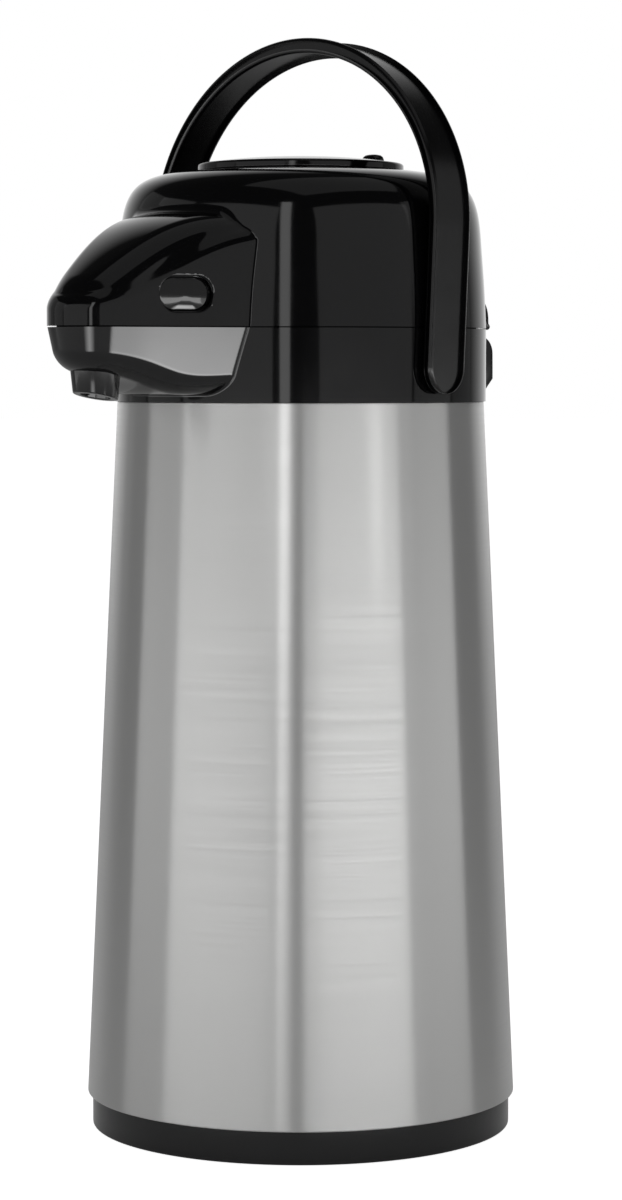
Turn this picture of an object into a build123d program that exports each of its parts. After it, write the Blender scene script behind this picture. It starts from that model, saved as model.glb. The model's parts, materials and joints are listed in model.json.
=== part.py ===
from build123d import *
import os
from math import cos, radians, sin, sqrt, tan

"""Push-button vacuum airpot: a brushed steel sleeve round a glass liner, with a black head that
holds the spout, the pump under a hinged lid, and a bail handle.

Frame: +Z is up, -Y is the spout side, and the origin is the centre of the face it stands on.
All lengths are millimetres, all angles degrees.
"""

os.makedirs("parts", exist_ok=True)

# Fits shared by several pieces
seat_gap = 0.3  # between pieces of different bodies that rest on each other
running_gap = 0.06  # radial, round a pin that turns
moulding_gap = 0.4  # the dark line where two mouldings meet
cut_past = 1.0  # how far a cut runs past the face it opens
same_radius = 0.01  # within this, an edge has the radius that is looked for

# Steel sleeve
sleeve_base_radius = 78.3
sleeve_top_radius = 66.6
sleeve_wall = 0.8
sleeve_hem = 5.8
sleeve_flange = 5.0
shoulder_height = 265.0

# Base
base_height = 12.4
base_step = 1.8  # how far the base stands in from the sleeve
base_edge_radius = 1.6
base_floor = 3.0
base_wall = 2.6
base_spigot_height = 8.0
foot_stand = 1.0
foot_thickness = 2.0
foot_inner_radius = 63.0
foot_outer_radius = 69.0
plug_bore_radius = 57.0
plug_bore_wall = 3.6
plug_bore_height = 14.0
plug_gap = 0.25
plug_floor = 4.0
plug_rim_wall = 3.2
plug_rim_drop = 1.0
coin_slot_length = 34.0
coin_slot_width = 4.0
coin_slot_depth = 1.8

# Glass liner, a bottle inside a bottle
liner_radius = 64.0
liner_floor = 22.0
liner_dome_height = 40.0
liner_shoulder = 213.0
liner_shoulder_rise = 28.0
liner_neck_radius = 31.0
liner_mouth = 262.0
liner_double_wall = 6.0
glass_wall = 1.6
tip_radius = 4.0
tip_height = 6.0
tip_taper = 20.0
cushion_radius = 44.0
cushion_hole_radius = 8.0
mouth_seal_thickness = 3.0
mouth_seal_skirt = 8.0
mouth_seal_wall = 2.0

# Shoulder collar and the parting line under the lid
collar_radius = 67.4
collar_wall = 2.5
parting_height = 291.0
collar_floor_height = 268.0
collar_floor = 3.0
collar_throat_radius = 33.8
spigot_depth = 4.0
spigot_wall = 2.3

# Beak, shared by the collar's lower half and the lid's hood
nozzle_reach = 100.6
nose_radius = 16.6
flank_angle = 19.5
beak_root = 45.0
beak_wall = 2.5
belly_depth = 23.0
chin_depth = 15.6
belly_edge_radius = 7.0
belly_draft = 10.0  # the lower half's sides lean in toward its underside
belly_back = 22.1  # behind the nozzle's axis, where the belly starts to rise toward the chin
belly_rise_back = 10.1
chin_slope = 0.04
tray_depth = 7.4
channel_depth = 13.4
channel_inset = 7.0

# Hood roof: distance behind the nozzle's axis, then ridge and flank crease above the parting line
hood_stations = (
    (54.6, 41.0, 33.5),
    (41.6, 40.6, 30.8),
    (26.6, 38.4, 26.4),
    (12.6, 33.4, 18.6),
    (0.6, 25.6, 12.2),
    (-8.4, 16.4, 7.6),
    (-18.4, 4.8, 1.0),
)
hood_overlap = 1.4
hood_depth = 9.0  # how far the slices run below the parting line before they are trimmed
hood_crease_radius = 2.0
hood_arc_share = 0.985  # of its radius, the most that a slice's roof arc spans to a side

# Throat ring, the funnel round the liner's mouth
throat_radius = 26.0
throat_lip_radius = 36.4
throat_rim_height = 289.4
throat_wall = 2.6
throat_flange_radius = 50.0
throat_flange = 2.6
throat_screw_circle = 45.5
throat_screw_count = 4
screw_start_angle = 45.0

# Siphon and spout
siphon_offset = 17.0
siphon_radius = 5.0
siphon_bore = 4.0
siphon_end = 34.0
siphon_head_radius = 7.5
siphon_head_base = 264.0
siphon_head_top = 288.4
siphon_socket_depth = 7.5
siphon_head_roof = 1.4
port_height = 282.6
port_radius = 6.6
port_reach = 29.5
ball_radius = 3.8
ball_seat_radius = 2.8
ball_seat_height = 275.0
ball_chamber_radius = 4.6
pipe_overlap = 6.0
pipe_foot = 272.0
pipe_bend_radius = 6.0
nozzle_top_radius = 8.8
nozzle_bottom_radius = 7.8
nozzle_wall_height = 9.4
nozzle_cut_angle = 12.0
nozzle_flange_radius = 9.4
nozzle_flange = 1.6
nozzle_lead_wall = 0.8  # left at the top where the bore opens for the pipe's bend
nozzle_cut_rise = 1.2

# Hinge at the rear
hinge_reach = 70.5
hinge_drop = 8.5
hinge_barrel_radius = 6.5
hinge_block_half_width = 26.0
hinge_block_depth = 25.0
hinge_slant = 7.0
hinge_root = 50.0  # inside the round wall, where the hollow trims the block
hinge_end_radius = 3.0
hinge_pin_radius = 1.75
hinge_pin_inset = 1.0
hinge_arm_centre = 13.0
hinge_arm_width = 6.4
hinge_arm_radius = 5.4
hinge_arm_depth = 8.1
hinge_arm_root = 2.0
hinge_slot_gap = 0.5

# Lid
lid_wall = 2.5
lid_foot_radius = 67.3
lid_rise = 57.7  # top of the lid over the parting line
lid_waist_radius = 64.9
lid_waist_drop = 20.7
lid_brow_radius = 55.0
lid_brow_drop = 3.5
lid_crown_bulge = 0.9
lid_bend_out = 0.68  # where the shoulder's arc passes, as shares of the way from brow to waist
lid_bend_down = 0.3
lid_brow_lean = 0.6  # shares of the wall's thickness that the sloping walls take
lid_waist_lean = 0.4
lid_fin_reach = 74.6
lid_fin_rise = 14.0
lid_fin_foot = 2.0
lid_fin_sink = 1.2
well_radius = 38.2
cylinder_radius = 39.0
cylinder_wall = 2.3
cylinder_flange_radius = 50.0
cylinder_flange = 2.6
cylinder_top_gap = 0.6
lid_floor_thickness = 2.5
lid_floor_gap = 2.3
lid_gasket_width = 6.0
lid_gasket_overlap = 1.5
lid_screw_circle = 46.0
lid_screw_count = 4
air_hole_radius = 1.6
air_hole_circle = 4.4
air_hole_count = 3
flap_radius = 7.6
flap_thickness = 1.2

# Press button and pump
disc_radius = 37.4
disc_gap = 0.7
disc_thickness = 3.0
disc_dome = 2.2
disc_edge_radius = 1.3
disc_skirt_radius = 36.8
disc_skirt_wall = 2.0
disc_skirt_depth = 24.4
press_travel = 20.0
bellows_radius = 31.5
bellows_depth = 6.0
bellows_wall = 1.2
bellows_folds = 6
bellows_flange = 2.0
spring_radius = 15.0
spring_wire_radius = 1.0
spring_turns = 5
vent_radius = 4.0
vent_depth = 5.0

# Lock slider on the lid behind the button
lock_reach = 44.0
lock_rest = -5.4
lock_travel = 8.0
lock_knob_length = 8.8
lock_knob_width = 6.4
lock_knob_height = 9.2
lock_stem_length = 5.0
lock_stem_width = 3.0
lock_plate_thickness = 1.6
lock_plate_length = 8.0
lock_plate_width = 4.6
lock_plate_gap = 1.9
lock_arm_width = 5.0
lock_arm_thickness = 2.2
lock_arm_gap = 0.8
lock_tongue_reach = 35.6
lock_tongue_thickness = 2.4
lock_clearance = 0.5

# Latch buttons in the hood's flanks
latch_back = 19.9  # behind the nozzle's axis
latch_height = 302.4
latch_length = 19.4
latch_width = 11.8
latch_gap = 0.45
latch_recess = 1.2
latch_rim = 1.4
latch_flange = 1.3
latch_edge_radius = 0.6
latch_leg_width = 9.0
latch_leg_thickness = 2.2
latch_leg_depth = 6.4
latch_leg_overlap = 3.0
latch_toe = 0.6
latch_toe_height = 2.0
latch_rib_height = 2.2
latch_rib_depth = 0.9

# Bail handle
bail_pivot_height = 277.0
bail_tilt = 3.2
bail_half_span = 72.5
bail_straight = 49.0
bail_rise = 69.8
bail_side_thickness = 4.3
bail_top_thickness = 5.6
bail_width = 18.2
bail_edge_radius = 1.4
bail_pin_radius = 4.0
bail_pin_reach = 64.1
bail_washer_radius = 5.6
bail_washer_thickness = 1.4
bail_screw_radius = 1.5

# Fasteners
screw_radius = 1.5
screw_head_radius = 2.9
screw_head_height = 1.9
screw_length = 6.0

# Places that follow from the sizes above
base_radius = sleeve_base_radius - base_step
spigot_radius = sleeve_base_radius - sleeve_hem - seat_gap
dome_centre = liner_floor + liner_dome_height
mouth_seal_top = liner_mouth + mouth_seal_thickness
collar_floor_top = collar_floor_height + collar_floor
lid_foot = parting_height + moulding_gap
lid_top_height = parting_height + lid_rise
lid_waist_height = lid_top_height - lid_waist_drop
lid_brow_height = lid_top_height - lid_brow_drop
disc_base_height = lid_top_height + disc_gap
disc_rim_height = disc_base_height + disc_thickness
collar_inner = collar_radius - collar_wall
screw_hole_radius = screw_radius + 0.1
lid_floor_base = throat_rim_height + lid_floor_gap
lid_floor_top = lid_floor_base + lid_floor_thickness
hinge_height = parting_height - hinge_drop
skirt_foot = disc_base_height - disc_skirt_depth
port_channel_floor = parting_height - channel_depth
latch_reach = nozzle_reach - latch_back
belly_reach = nozzle_reach - belly_back
belly_rise_reach = nozzle_reach - belly_rise_back
hook_foot = parting_height - latch_leg_depth
rib_foot = hook_foot + latch_toe_height + seat_gap
flank_out = Vector(cos(radians(flank_angle)), -sin(radians(flank_angle)), 0)
flank_back = Vector(sin(radians(flank_angle)), cos(radians(flank_angle)), 0)


def write(part, name):
    """Label a finished piece and write it as its own STEP file."""
    part.label = name
    export_step(part, f"parts/{name}.step")


def flank_x(reach, inset=0.0):
    """Half width of the beak at a reach from the axis, on its straight flank."""
    radius = nose_radius - inset
    slope = radians(flank_angle)
    tangent_reach = nozzle_reach + radius * sin(slope)
    return radius * cos(slope) + (tangent_reach - reach) * tan(slope)


flank_spot = (flank_x(latch_reach), -latch_reach, latch_height)


def beak_plan(height, inset=0.0):
    """The beak from above: a round nose about the nozzle's axis and two flanks that open backward."""
    radius = nose_radius - inset
    slope = radians(flank_angle)
    tangent = (radius * cos(slope), -nozzle_reach - radius * sin(slope))
    root = (flank_x(beak_root, inset), -beak_root)
    with BuildSketch(Plane.XY.offset(height)) as plan:
        with BuildLine():
            Line(root, tangent)
            ThreePointArc(tangent, (0, -nozzle_reach - radius), (-tangent[0], tangent[1]))
            Line((-tangent[0], tangent[1]), (-root[0], root[1]))
            Line((-root[0], root[1]), root)
        make_face()
    return plan.sketch


def roof_section(reach, ridge, crease, inset):
    """One slice of the hood across the beak, with an arched top that passes the flank's crease."""
    half = flank_x(reach)
    rise = ridge - crease
    radius = (half**2 + rise**2) / (2 * rise)
    edge = min(half + hood_overlap, hood_arc_share * radius)
    foot = parting_height - hood_depth
    top = parting_height + ridge - inset
    shoulder = top - radius + sqrt(radius**2 - edge**2)
    with BuildSketch(Plane((0, -reach, 0), x_dir=(1, 0, 0), z_dir=(0, -1, 0))) as section:
        with BuildLine():
            Line((-edge, foot), (edge, foot))
            Line((edge, foot), (edge, shoulder))
            ThreePointArc((edge, shoulder), (0, top), (-edge, shoulder))
            Line((-edge, shoulder), (-edge, foot))
        make_face()
    return section.sketch


def hood(inset=0.0, crease_radius=0.0):
    """The upper half of the beak: a lofted roof, trimmed by the beak's plan."""
    with BuildPart() as roof:
        for back, ridge, crease in hood_stations:
            add(roof_section(nozzle_reach - back, ridge, crease, inset))
        loft()
        extrude(beak_plan(lid_foot, inset), amount=lid_top_height - lid_foot, mode=Mode.INTERSECT)
        if crease_radius:
            creases = [
                edge
                for edge in roof.edges()
                if edge.geom_type != GeomType.LINE
                and edge.center().Z > lid_foot + cut_past
                and edge.center().Y < -beak_root - cut_past
            ]
            fillet(creases, radius=crease_radius)
    return roof.part


def bottle(inset, mouth=liner_mouth):
    """A solid bottle, smaller than the liner's outside by an inset all round."""
    radius = liner_radius - inset
    neck = liner_neck_radius - inset
    rise = liner_shoulder_rise - inset
    floor = liner_floor + inset
    with BuildPart() as body:
        with BuildSketch(Plane.XZ):
            with BuildLine():
                Line((0, mouth), (0, floor))
                EllipticalCenterArc((0, dome_centre), radius, dome_centre - floor, 270, arc_size=90)
                Line((radius, dome_centre), (radius, liner_shoulder))
                EllipticalCenterArc((neck, liner_shoulder), radius - neck, rise, 0, arc_size=90)
                Line((neck, liner_shoulder + rise), (neck, mouth))
                Line((neck, mouth), (0, mouth))
            make_face()
        revolve(axis=Axis.Z)
    return body.part


def ring(inner, outer, foot, top):
    """A plain ring about the pot's axis."""
    with BuildPart() as body:
        with BuildSketch(Plane.XY.offset(foot)):
            Circle(outer)
            if inner:
                Circle(inner, mode=Mode.SUBTRACT)
        extrude(amount=top - foot)
    return body.part


def turned(points):
    """A solid turned about the pot's axis from corner points given as radius and height."""
    with BuildPart() as body:
        with BuildSketch(Plane.XZ):
            with BuildLine():
                Polyline(*points, close=True)
            make_face()
        revolve(axis=Axis.Z)
    return body.part


def lid_dome(inset, foot):
    """The lid without its hood, as a solid of revolution that tapers and rounds over at the top."""
    brow = (lid_brow_radius - lid_brow_lean * inset, lid_brow_height - inset)
    waist = (lid_waist_radius - inset, lid_waist_height - lid_waist_lean * inset)
    bend = (
        brow[0] + (waist[0] - brow[0]) * lid_bend_out,
        brow[1] + (waist[1] - brow[1]) * lid_bend_down,
    )
    crown = (well_radius, lid_top_height - inset)
    rise = ((brow[0] + crown[0]) / 2, (brow[1] + crown[1]) / 2 + lid_crown_bulge)
    with BuildPart() as body:
        with BuildSketch(Plane.XZ):
            with BuildLine():
                Line((0, crown[1]), (0, foot))
                Line((0, foot), (lid_foot_radius - inset, foot))
                Line((lid_foot_radius - inset, foot), waist)
                ThreePointArc(waist, bend, brow)
                ThreePointArc(brow, rise, crown)
                Line(crown, (0, crown[1]))
            make_face()
        revolve(axis=Axis.Z)
    return body.part


# Steel sleeve, drawn in one piece with a hem at the bottom and a flange at the top
with BuildPart() as body_shell:
    add(
        turned(
            (
                (sleeve_base_radius, base_height),
                (sleeve_top_radius, shoulder_height),
                (sleeve_top_radius - sleeve_flange, shoulder_height),
                (sleeve_top_radius - sleeve_flange, shoulder_height - sleeve_wall),
                (sleeve_top_radius - sleeve_wall, shoulder_height - sleeve_wall),
                (sleeve_base_radius - sleeve_wall, base_height + sleeve_wall),
                (sleeve_base_radius - sleeve_hem, base_height + sleeve_wall),
                (sleeve_base_radius - sleeve_hem, base_height),
            )
        )
    )
write(body_shell.part, "body_shell")

# Base ring, with a spigot that centres the sleeve and a bore for the screw plug
base_inner = spigot_radius - base_wall
with BuildPart() as base_ring:
    add(
        turned(
            (
                (plug_bore_radius, foot_stand),
                (base_radius, foot_stand),
                (base_radius, base_height),
                (spigot_radius, base_height),
                (spigot_radius, base_height + base_spigot_height),
                (base_inner, base_height + base_spigot_height),
                (base_inner, foot_stand + base_floor),
                (plug_bore_radius + plug_bore_wall, foot_stand + base_floor),
                (plug_bore_radius + plug_bore_wall, plug_bore_height),
                (plug_bore_radius, plug_bore_height),
            )
        )
    )
    add(ring(foot_inner_radius, foot_outer_radius, 0, foot_thickness), mode=Mode.SUBTRACT)
    rims = [
        edge
        for edge in base_ring.edges().filter_by(GeomType.CIRCLE)
        if abs(edge.radius - base_radius) < same_radius and edge.center().Z < base_height / 2
    ]
    fillet(rims, radius=base_edge_radius)
write(base_ring.part, "base_ring")

with BuildPart() as foot_ring:
    add(ring(foot_inner_radius, foot_outer_radius, 0, foot_thickness))
write(foot_ring.part, "foot_ring")

# Screw plug that closes the base and lifts the liner against its seal
plug_radius = plug_bore_radius - plug_gap
plug_top = plug_bore_height - plug_rim_drop
plug_base = foot_stand + foot_thickness / 2
with BuildPart() as base_plug:
    add(
        turned(
            (
                (0, plug_base),
                (plug_radius, plug_base),
                (plug_radius, plug_top),
                (plug_radius - plug_rim_wall, plug_top),
                (plug_radius - plug_rim_wall, plug_base + plug_floor),
                (0, plug_base + plug_floor),
            )
        )
    )
    with BuildSketch(Plane.XY.offset(plug_base)):
        SlotOverall(coin_slot_length, coin_slot_width)
    extrude(amount=coin_slot_depth, mode=Mode.SUBTRACT)
write(base_plug.part, "base_plug")

# Rubber cushion shaped to the liner's bottom, open in the middle for the glass tip
with BuildPart() as liner_cushion:
    add(ring(cushion_hole_radius, cushion_radius, plug_base + plug_floor, dome_centre))
    add(bottle(-seat_gap), mode=Mode.SUBTRACT)
write(liner_cushion.part, "liner_cushion")

# Glass liner: an outer bottle with a lip and a sealed-off tip, and an inner bottle fused to the lip
with BuildPart() as liner_outer:
    add(bottle(0))
    add(bottle(glass_wall, liner_mouth - 2 * glass_wall), mode=Mode.SUBTRACT)
    add(bottle(liner_double_wall - glass_wall), mode=Mode.SUBTRACT)
    with BuildSketch(Plane.XY.offset(liner_floor + glass_wall / 2)):
        Circle(tip_radius)
    extrude(amount=-tip_height, taper=tip_taper)
write(liner_outer.part, "liner_outer")

with BuildPart() as liner_inner:
    add(bottle(liner_double_wall - glass_wall))
    add(bottle(liner_double_wall), mode=Mode.SUBTRACT)
write(liner_inner.part, "liner_inner")

# Silicone ring over the liner's mouth
seal_inner = liner_neck_radius - liner_double_wall
seal_outer = liner_neck_radius + seat_gap + mouth_seal_wall
with BuildPart() as mouth_seal:
    add(
        turned(
            (
                (seal_inner, liner_mouth),
                (liner_neck_radius + seat_gap, liner_mouth),
                (liner_neck_radius + seat_gap, liner_mouth - mouth_seal_skirt),
                (seal_outer, liner_mouth - mouth_seal_skirt),
                (seal_outer, mouth_seal_top),
                (seal_inner, mouth_seal_top),
            )
        )
    )
write(mouth_seal.part, "mouth_seal")


def belly():
    """The lower half of the beak: its plan, cut below by the chin and the deeper belly behind it."""
    low = parting_height - belly_depth
    chin = parting_height - chin_depth
    front = -nozzle_reach - nose_radius - cut_past
    with BuildPart() as body:
        extrude(beak_plan(parting_height), amount=-belly_depth, taper=belly_draft)
        with BuildSketch(Plane.YZ):
            with BuildLine():
                Polyline(
                    (-belly_reach, low),
                    (-beak_root, low),
                    (-beak_root, parting_height),
                    (front, parting_height),
                    (front, chin),
                )
                Spline(
                    (-belly_reach, low),
                    (-belly_rise_reach, (low + chin) / 2),
                    (front, chin),
                    tangents=((-1, 0), (-1, chin_slope)),
                )
            make_face()
        extrude(amount=2 * collar_radius, both=True, mode=Mode.INTERSECT)
        under = [
            edge
            for edge in body.edges()
            if edge.bounding_box().max.Z < parting_height - cut_past
            and edge.center().Y < -beak_root - cut_past
            and (abs(edge.center().X) > cut_past or edge.center().Y < -nozzle_reach)
        ]
        fillet(under, radius=belly_edge_radius)
    return body.part


def hinge_block(half_width):
    """The rear block that holds the hinge pin: round over the pin, flat behind, slanted below."""
    foot = parting_height - hinge_block_depth
    rear = hinge_reach + hinge_barrel_radius
    with BuildPart() as body:
        with BuildSketch(Plane.YZ):
            with BuildLine():
                Line((hinge_root, foot), (rear - hinge_slant, foot))
                Line((rear - hinge_slant, foot), (rear, foot + hinge_slant))
                Line((rear, foot + hinge_slant), (rear, hinge_height))
                CenterArc((hinge_reach, hinge_height), hinge_barrel_radius, 0, 90)
                Polyline(
                    (hinge_reach, hinge_height + hinge_barrel_radius),
                    (hinge_root, hinge_height + hinge_barrel_radius),
                    (hinge_root, foot),
                )
            make_face()
        extrude(amount=half_width, both=True)
        ends = body.faces().filter_by(Axis.X).edges().filter_by(
            lambda edge: edge.center().Y > hinge_root + cut_past
        )
        fillet(ends, radius=hinge_end_radius)
    return body.part


# Shoulder collar, with the lower half of the beak, the liner floor and the hinge block
flange_inner = sleeve_top_radius - sleeve_flange
with BuildPart() as shoulder_collar:
    add(ring(0, collar_radius, shoulder_height, parting_height))
    add(belly())
    add(hinge_block(hinge_block_half_width))
    add(
        ring(
            0,
            flange_inner - seat_gap,
            shoulder_height - spigot_depth,
            shoulder_height,
        )
    )
    # room for the throat ring above the floor, and for the liner's neck below it
    add(ring(0, collar_inner, collar_floor_top, parting_height), mode=Mode.SUBTRACT)
    add(
        ring(
            0,
            flange_inner - seat_gap - spigot_wall,
            shoulder_height - spigot_depth,
            collar_floor_height,
        ),
        mode=Mode.SUBTRACT,
    )
    add(ring(0, collar_throat_radius, shoulder_height, parting_height), mode=Mode.SUBTRACT)
    # the beak's open tray, and the deeper channel that the spout pipe lies in
    extrude(beak_plan(parting_height, beak_wall), amount=-tray_depth, mode=Mode.SUBTRACT)
    extrude(beak_plan(parting_height, channel_inset), amount=-channel_depth, mode=Mode.SUBTRACT)
    # hole for the nozzle
    with BuildSketch(Plane.XY.offset(parting_height - belly_depth)):
        with Locations((0, -nozzle_reach)):
            Circle(nozzle_top_radius + seat_gap)
    extrude(amount=belly_depth, mode=Mode.SUBTRACT)
    # bores for the bail's pins
    with BuildSketch(Plane.YZ):
        with Locations((0, bail_pivot_height)):
            Circle(bail_pin_radius + running_gap)
    extrude(amount=collar_radius + cut_past, both=True, mode=Mode.SUBTRACT)
    # slots for the lid's hinge arms, open above and behind, and the bore for the pin
    slot_front = hinge_reach - hinge_arm_radius - hinge_slot_gap
    slot_foot = hinge_height - hinge_arm_radius - hinge_slot_gap
    for side in (-1, 1):
        with BuildSketch(Plane.XY.offset(slot_foot)):
            with Locations((side * hinge_arm_centre, slot_front)):
                Rectangle(
                    hinge_arm_width + 2 * hinge_slot_gap,
                    4 * hinge_barrel_radius,
                    align=(Align.CENTER, Align.MIN),
                )
        extrude(amount=parting_height - slot_foot, mode=Mode.SUBTRACT)
    with BuildSketch(Plane.YZ):
        with Locations((hinge_reach, hinge_height)):
            Circle(hinge_pin_radius)
    extrude(amount=hinge_block_half_width - hinge_pin_inset, both=True, mode=Mode.SUBTRACT)
    # ribs over the latch hooks' toes, one on the inside of each flank
    with BuildPart(mode=Mode.PRIVATE) as rib:
        with BuildSketch(Plane(flank_spot, x_dir=flank_back, z_dir=flank_out)):
            with Locations((0, rib_foot - latch_height)):
                Rectangle(
                    latch_leg_width + 2 * latch_rim,
                    latch_rib_height,
                    align=(Align.CENTER, Align.MIN),
                )
        extrude(amount=-beak_wall - latch_rib_depth)
        extrude(beak_plan(parting_height, beak_wall / 2), amount=-belly_depth, mode=Mode.INTERSECT)
    add(rib.part)
    add(rib.part.mirror(Plane.YZ))
    # screw holes in the floor
    with BuildSketch(Plane.XY.offset(collar_floor_height)):
        with PolarLocations(throat_screw_circle, throat_screw_count, start_angle=screw_start_angle):
            Circle(screw_hole_radius)
    extrude(amount=collar_floor, mode=Mode.SUBTRACT)
write(shoulder_collar.part, "shoulder_collar")

# Throat ring: its foot presses on the mouth seal, its flange is screwed to the collar's floor
throat_foot_radius = collar_throat_radius - 2 * seat_gap
throat_outer = throat_lip_radius + throat_wall
flange_top = collar_floor_top + throat_flange
with BuildPart() as throat_ring:
    add(
        turned(
            (
                (throat_radius, mouth_seal_top),
                (throat_foot_radius, mouth_seal_top),
                (throat_foot_radius, collar_floor_top),
                (throat_flange_radius, collar_floor_top),
                (throat_flange_radius, flange_top),
                (throat_outer - throat_wall, flange_top),
                (throat_outer, throat_rim_height - 2 * throat_wall),
                (throat_outer, throat_rim_height),
                (throat_lip_radius, throat_rim_height),
                (throat_lip_radius, throat_rim_height - throat_wall),
                (throat_radius, collar_floor_height),
            )
        )
    )
    with BuildSketch(Plane.XZ.offset(throat_radius)):
        with Locations((0, port_height)):
            Circle(siphon_radius + seat_gap)
    extrude(amount=throat_outer - throat_radius + cut_past, mode=Mode.SUBTRACT)
    with BuildSketch(Plane.XY.offset(collar_floor_top)):
        with PolarLocations(throat_screw_circle, throat_screw_count, start_angle=screw_start_angle):
            Circle(screw_hole_radius)
    extrude(amount=throat_flange, mode=Mode.SUBTRACT)
write(throat_ring.part, "throat_ring")


def screws(places, head_foot, up):
    """Pan-head screws at a list of places, with their heads above or below a level."""
    way = 1 if up else -1
    with BuildPart() as group:
        with BuildSketch(Plane.XY.offset(head_foot)):
            with places:
                Circle(screw_head_radius)
        extrude(amount=way * screw_head_height)
        with BuildSketch(Plane.XY.offset(head_foot)):
            with places:
                Circle(screw_radius)
        extrude(amount=-way * screw_length)
    return group.part


throat_places = PolarLocations(throat_screw_circle, throat_screw_count, start_angle=screw_start_angle)
write(screws(throat_places, flange_top, True), "throat_screws")

# Siphon tube, from the liner's bottom up into the head
with BuildPart() as siphon_tube:
    with BuildSketch(Plane.XY.offset(siphon_end)):
        with Locations((0, -siphon_offset)):
            Circle(siphon_radius)
            Circle(siphon_bore, mode=Mode.SUBTRACT)
    extrude(amount=siphon_head_base + siphon_socket_depth - siphon_end)
write(siphon_tube.part, "siphon_tube")

# Siphon head: the tube's socket, the spill ball's seat and chamber, and the port to the spout
with BuildPart() as siphon_head:
    with BuildSketch(Plane.XY.offset(siphon_head_base)):
        with Locations((0, -siphon_offset)):
            Circle(siphon_head_radius)
    extrude(amount=siphon_head_top - siphon_head_base)
    with BuildSketch(Plane.XZ.offset(siphon_offset)):
        with Locations((0, port_height)):
            Circle(port_radius)
    extrude(amount=port_reach - siphon_offset)
    for radius, foot, top in (
        (siphon_radius, siphon_head_base, siphon_head_base + siphon_socket_depth),
        (ball_seat_radius, siphon_head_base, ball_seat_height),
        (ball_chamber_radius, ball_seat_height, siphon_head_top - siphon_head_roof),
    ):
        with BuildSketch(Plane.XY.offset(foot)):
            with Locations((0, -siphon_offset)):
                Circle(radius)
        extrude(amount=top - foot, mode=Mode.SUBTRACT)
    for radius, start in ((siphon_bore, siphon_offset), (siphon_radius, port_reach - pipe_overlap)):
        with BuildSketch(Plane.XZ.offset(start)):
            with Locations((0, port_height)):
                Circle(radius)
        extrude(amount=port_reach - start, mode=Mode.SUBTRACT)
write(siphon_head.part, "siphon_head")

# Spill ball, resting on its seat
ball_rest = ball_seat_height + sqrt(ball_radius**2 - ball_seat_radius**2) + running_gap
with BuildPart() as spill_ball:
    with BuildSketch(Plane((0, -siphon_offset, ball_rest), x_dir=(1, 0, 0), z_dir=(0, -1, 0))):
        with BuildLine():
            CenterArc((0, 0), ball_radius, -90, 180)
            Line((0, ball_radius), (0, -ball_radius))
        make_face()
    revolve(axis=Axis((0, -siphon_offset, 0), (0, 0, 1)))
write(spill_ball.part, "spill_ball")

# Spout pipe: forward along the beak, then down into the nozzle
with BuildPart() as spout_pipe:
    with BuildLine() as pipe_path:
        FilletPolyline(
            (0, -port_reach + pipe_overlap, port_height),
            (0, -nozzle_reach, port_height),
            (0, -nozzle_reach, pipe_foot),
            radius=pipe_bend_radius,
        )
    with BuildSketch(Plane(pipe_path.line @ 0, x_dir=(1, 0, 0), z_dir=pipe_path.line % 0)):
        Circle(siphon_radius)
        Circle(siphon_bore, mode=Mode.SUBTRACT)
    sweep(path=pipe_path.line)
write(spout_pipe.part, "spout_pipe")

# Nozzle: a tapered spout cut off on the slant, hung by its flange in the beak
nozzle_flange_foot = port_channel_floor
nozzle_middle = parting_height - chin_depth - nozzle_wall_height + nozzle_cut_rise
nozzle_low = nozzle_middle - nozzle_top_radius
with BuildPart() as spout_nozzle:
    with BuildSketch(Plane((0, -nozzle_reach, 0), x_dir=(1, 0, 0), z_dir=(0, -1, 0))):
        with BuildLine():
            Polyline(
                (siphon_radius + seat_gap / 2, nozzle_low),
                (nozzle_bottom_radius, nozzle_low),
                (nozzle_bottom_radius, nozzle_middle),
                (nozzle_top_radius, nozzle_flange_foot),
                (nozzle_flange_radius, nozzle_flange_foot),
                (nozzle_flange_radius, nozzle_flange_foot + nozzle_flange),
                (nozzle_top_radius - nozzle_lead_wall, nozzle_flange_foot + nozzle_flange),
                (siphon_radius + seat_gap / 2, nozzle_flange_foot - nozzle_flange),
                close=True,
            )
        make_face()
    revolve(axis=Axis((0, -nozzle_reach, 0), (0, 0, 1)))
    with BuildSketch(Plane.XZ.offset(nozzle_reach - nozzle_flange_radius - cut_past)):
        with Locations((0, port_height)):
            Circle(siphon_radius + seat_gap / 2)
    extrude(amount=nozzle_flange_radius + cut_past, mode=Mode.SUBTRACT)
    slant = radians(nozzle_cut_angle)
    split(
        bisect_by=Plane((0, -nozzle_reach, nozzle_middle), z_dir=(0, sin(slant), cos(slant))),
        keep=Keep.TOP,
    )
write(spout_nozzle.part, "spout_nozzle")

# Hinge pin across the rear block
with BuildPart() as hinge_pin:
    with BuildSketch(Plane.YZ):
        with Locations((hinge_reach, hinge_height)):
            Circle(hinge_pin_radius)
    extrude(amount=hinge_block_half_width - hinge_pin_inset, both=True)
write(hinge_pin.part, "hinge_pin")


# Where the latch button sits in the hood's right flank: local Z points out, Y up, X back
latch_plane = Plane(flank_spot, x_dir=flank_back, z_dir=flank_out)


def both_sides(right):
    """A piece of the right flank together with its mirror image on the left."""
    with BuildPart() as pair:
        add(right)
        mirror(about=Plane.YZ)
    return pair.part


def latch_holes():
    """Oval windows through both flanks of the hood."""
    with BuildPart() as cutter:
        with BuildSketch(latch_plane.offset(beak_wall)):
            SlotOverall(latch_length + 2 * latch_gap, latch_width + 2 * latch_gap)
        extrude(amount=-3 * beak_wall)
    return both_sides(cutter.part)


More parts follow.
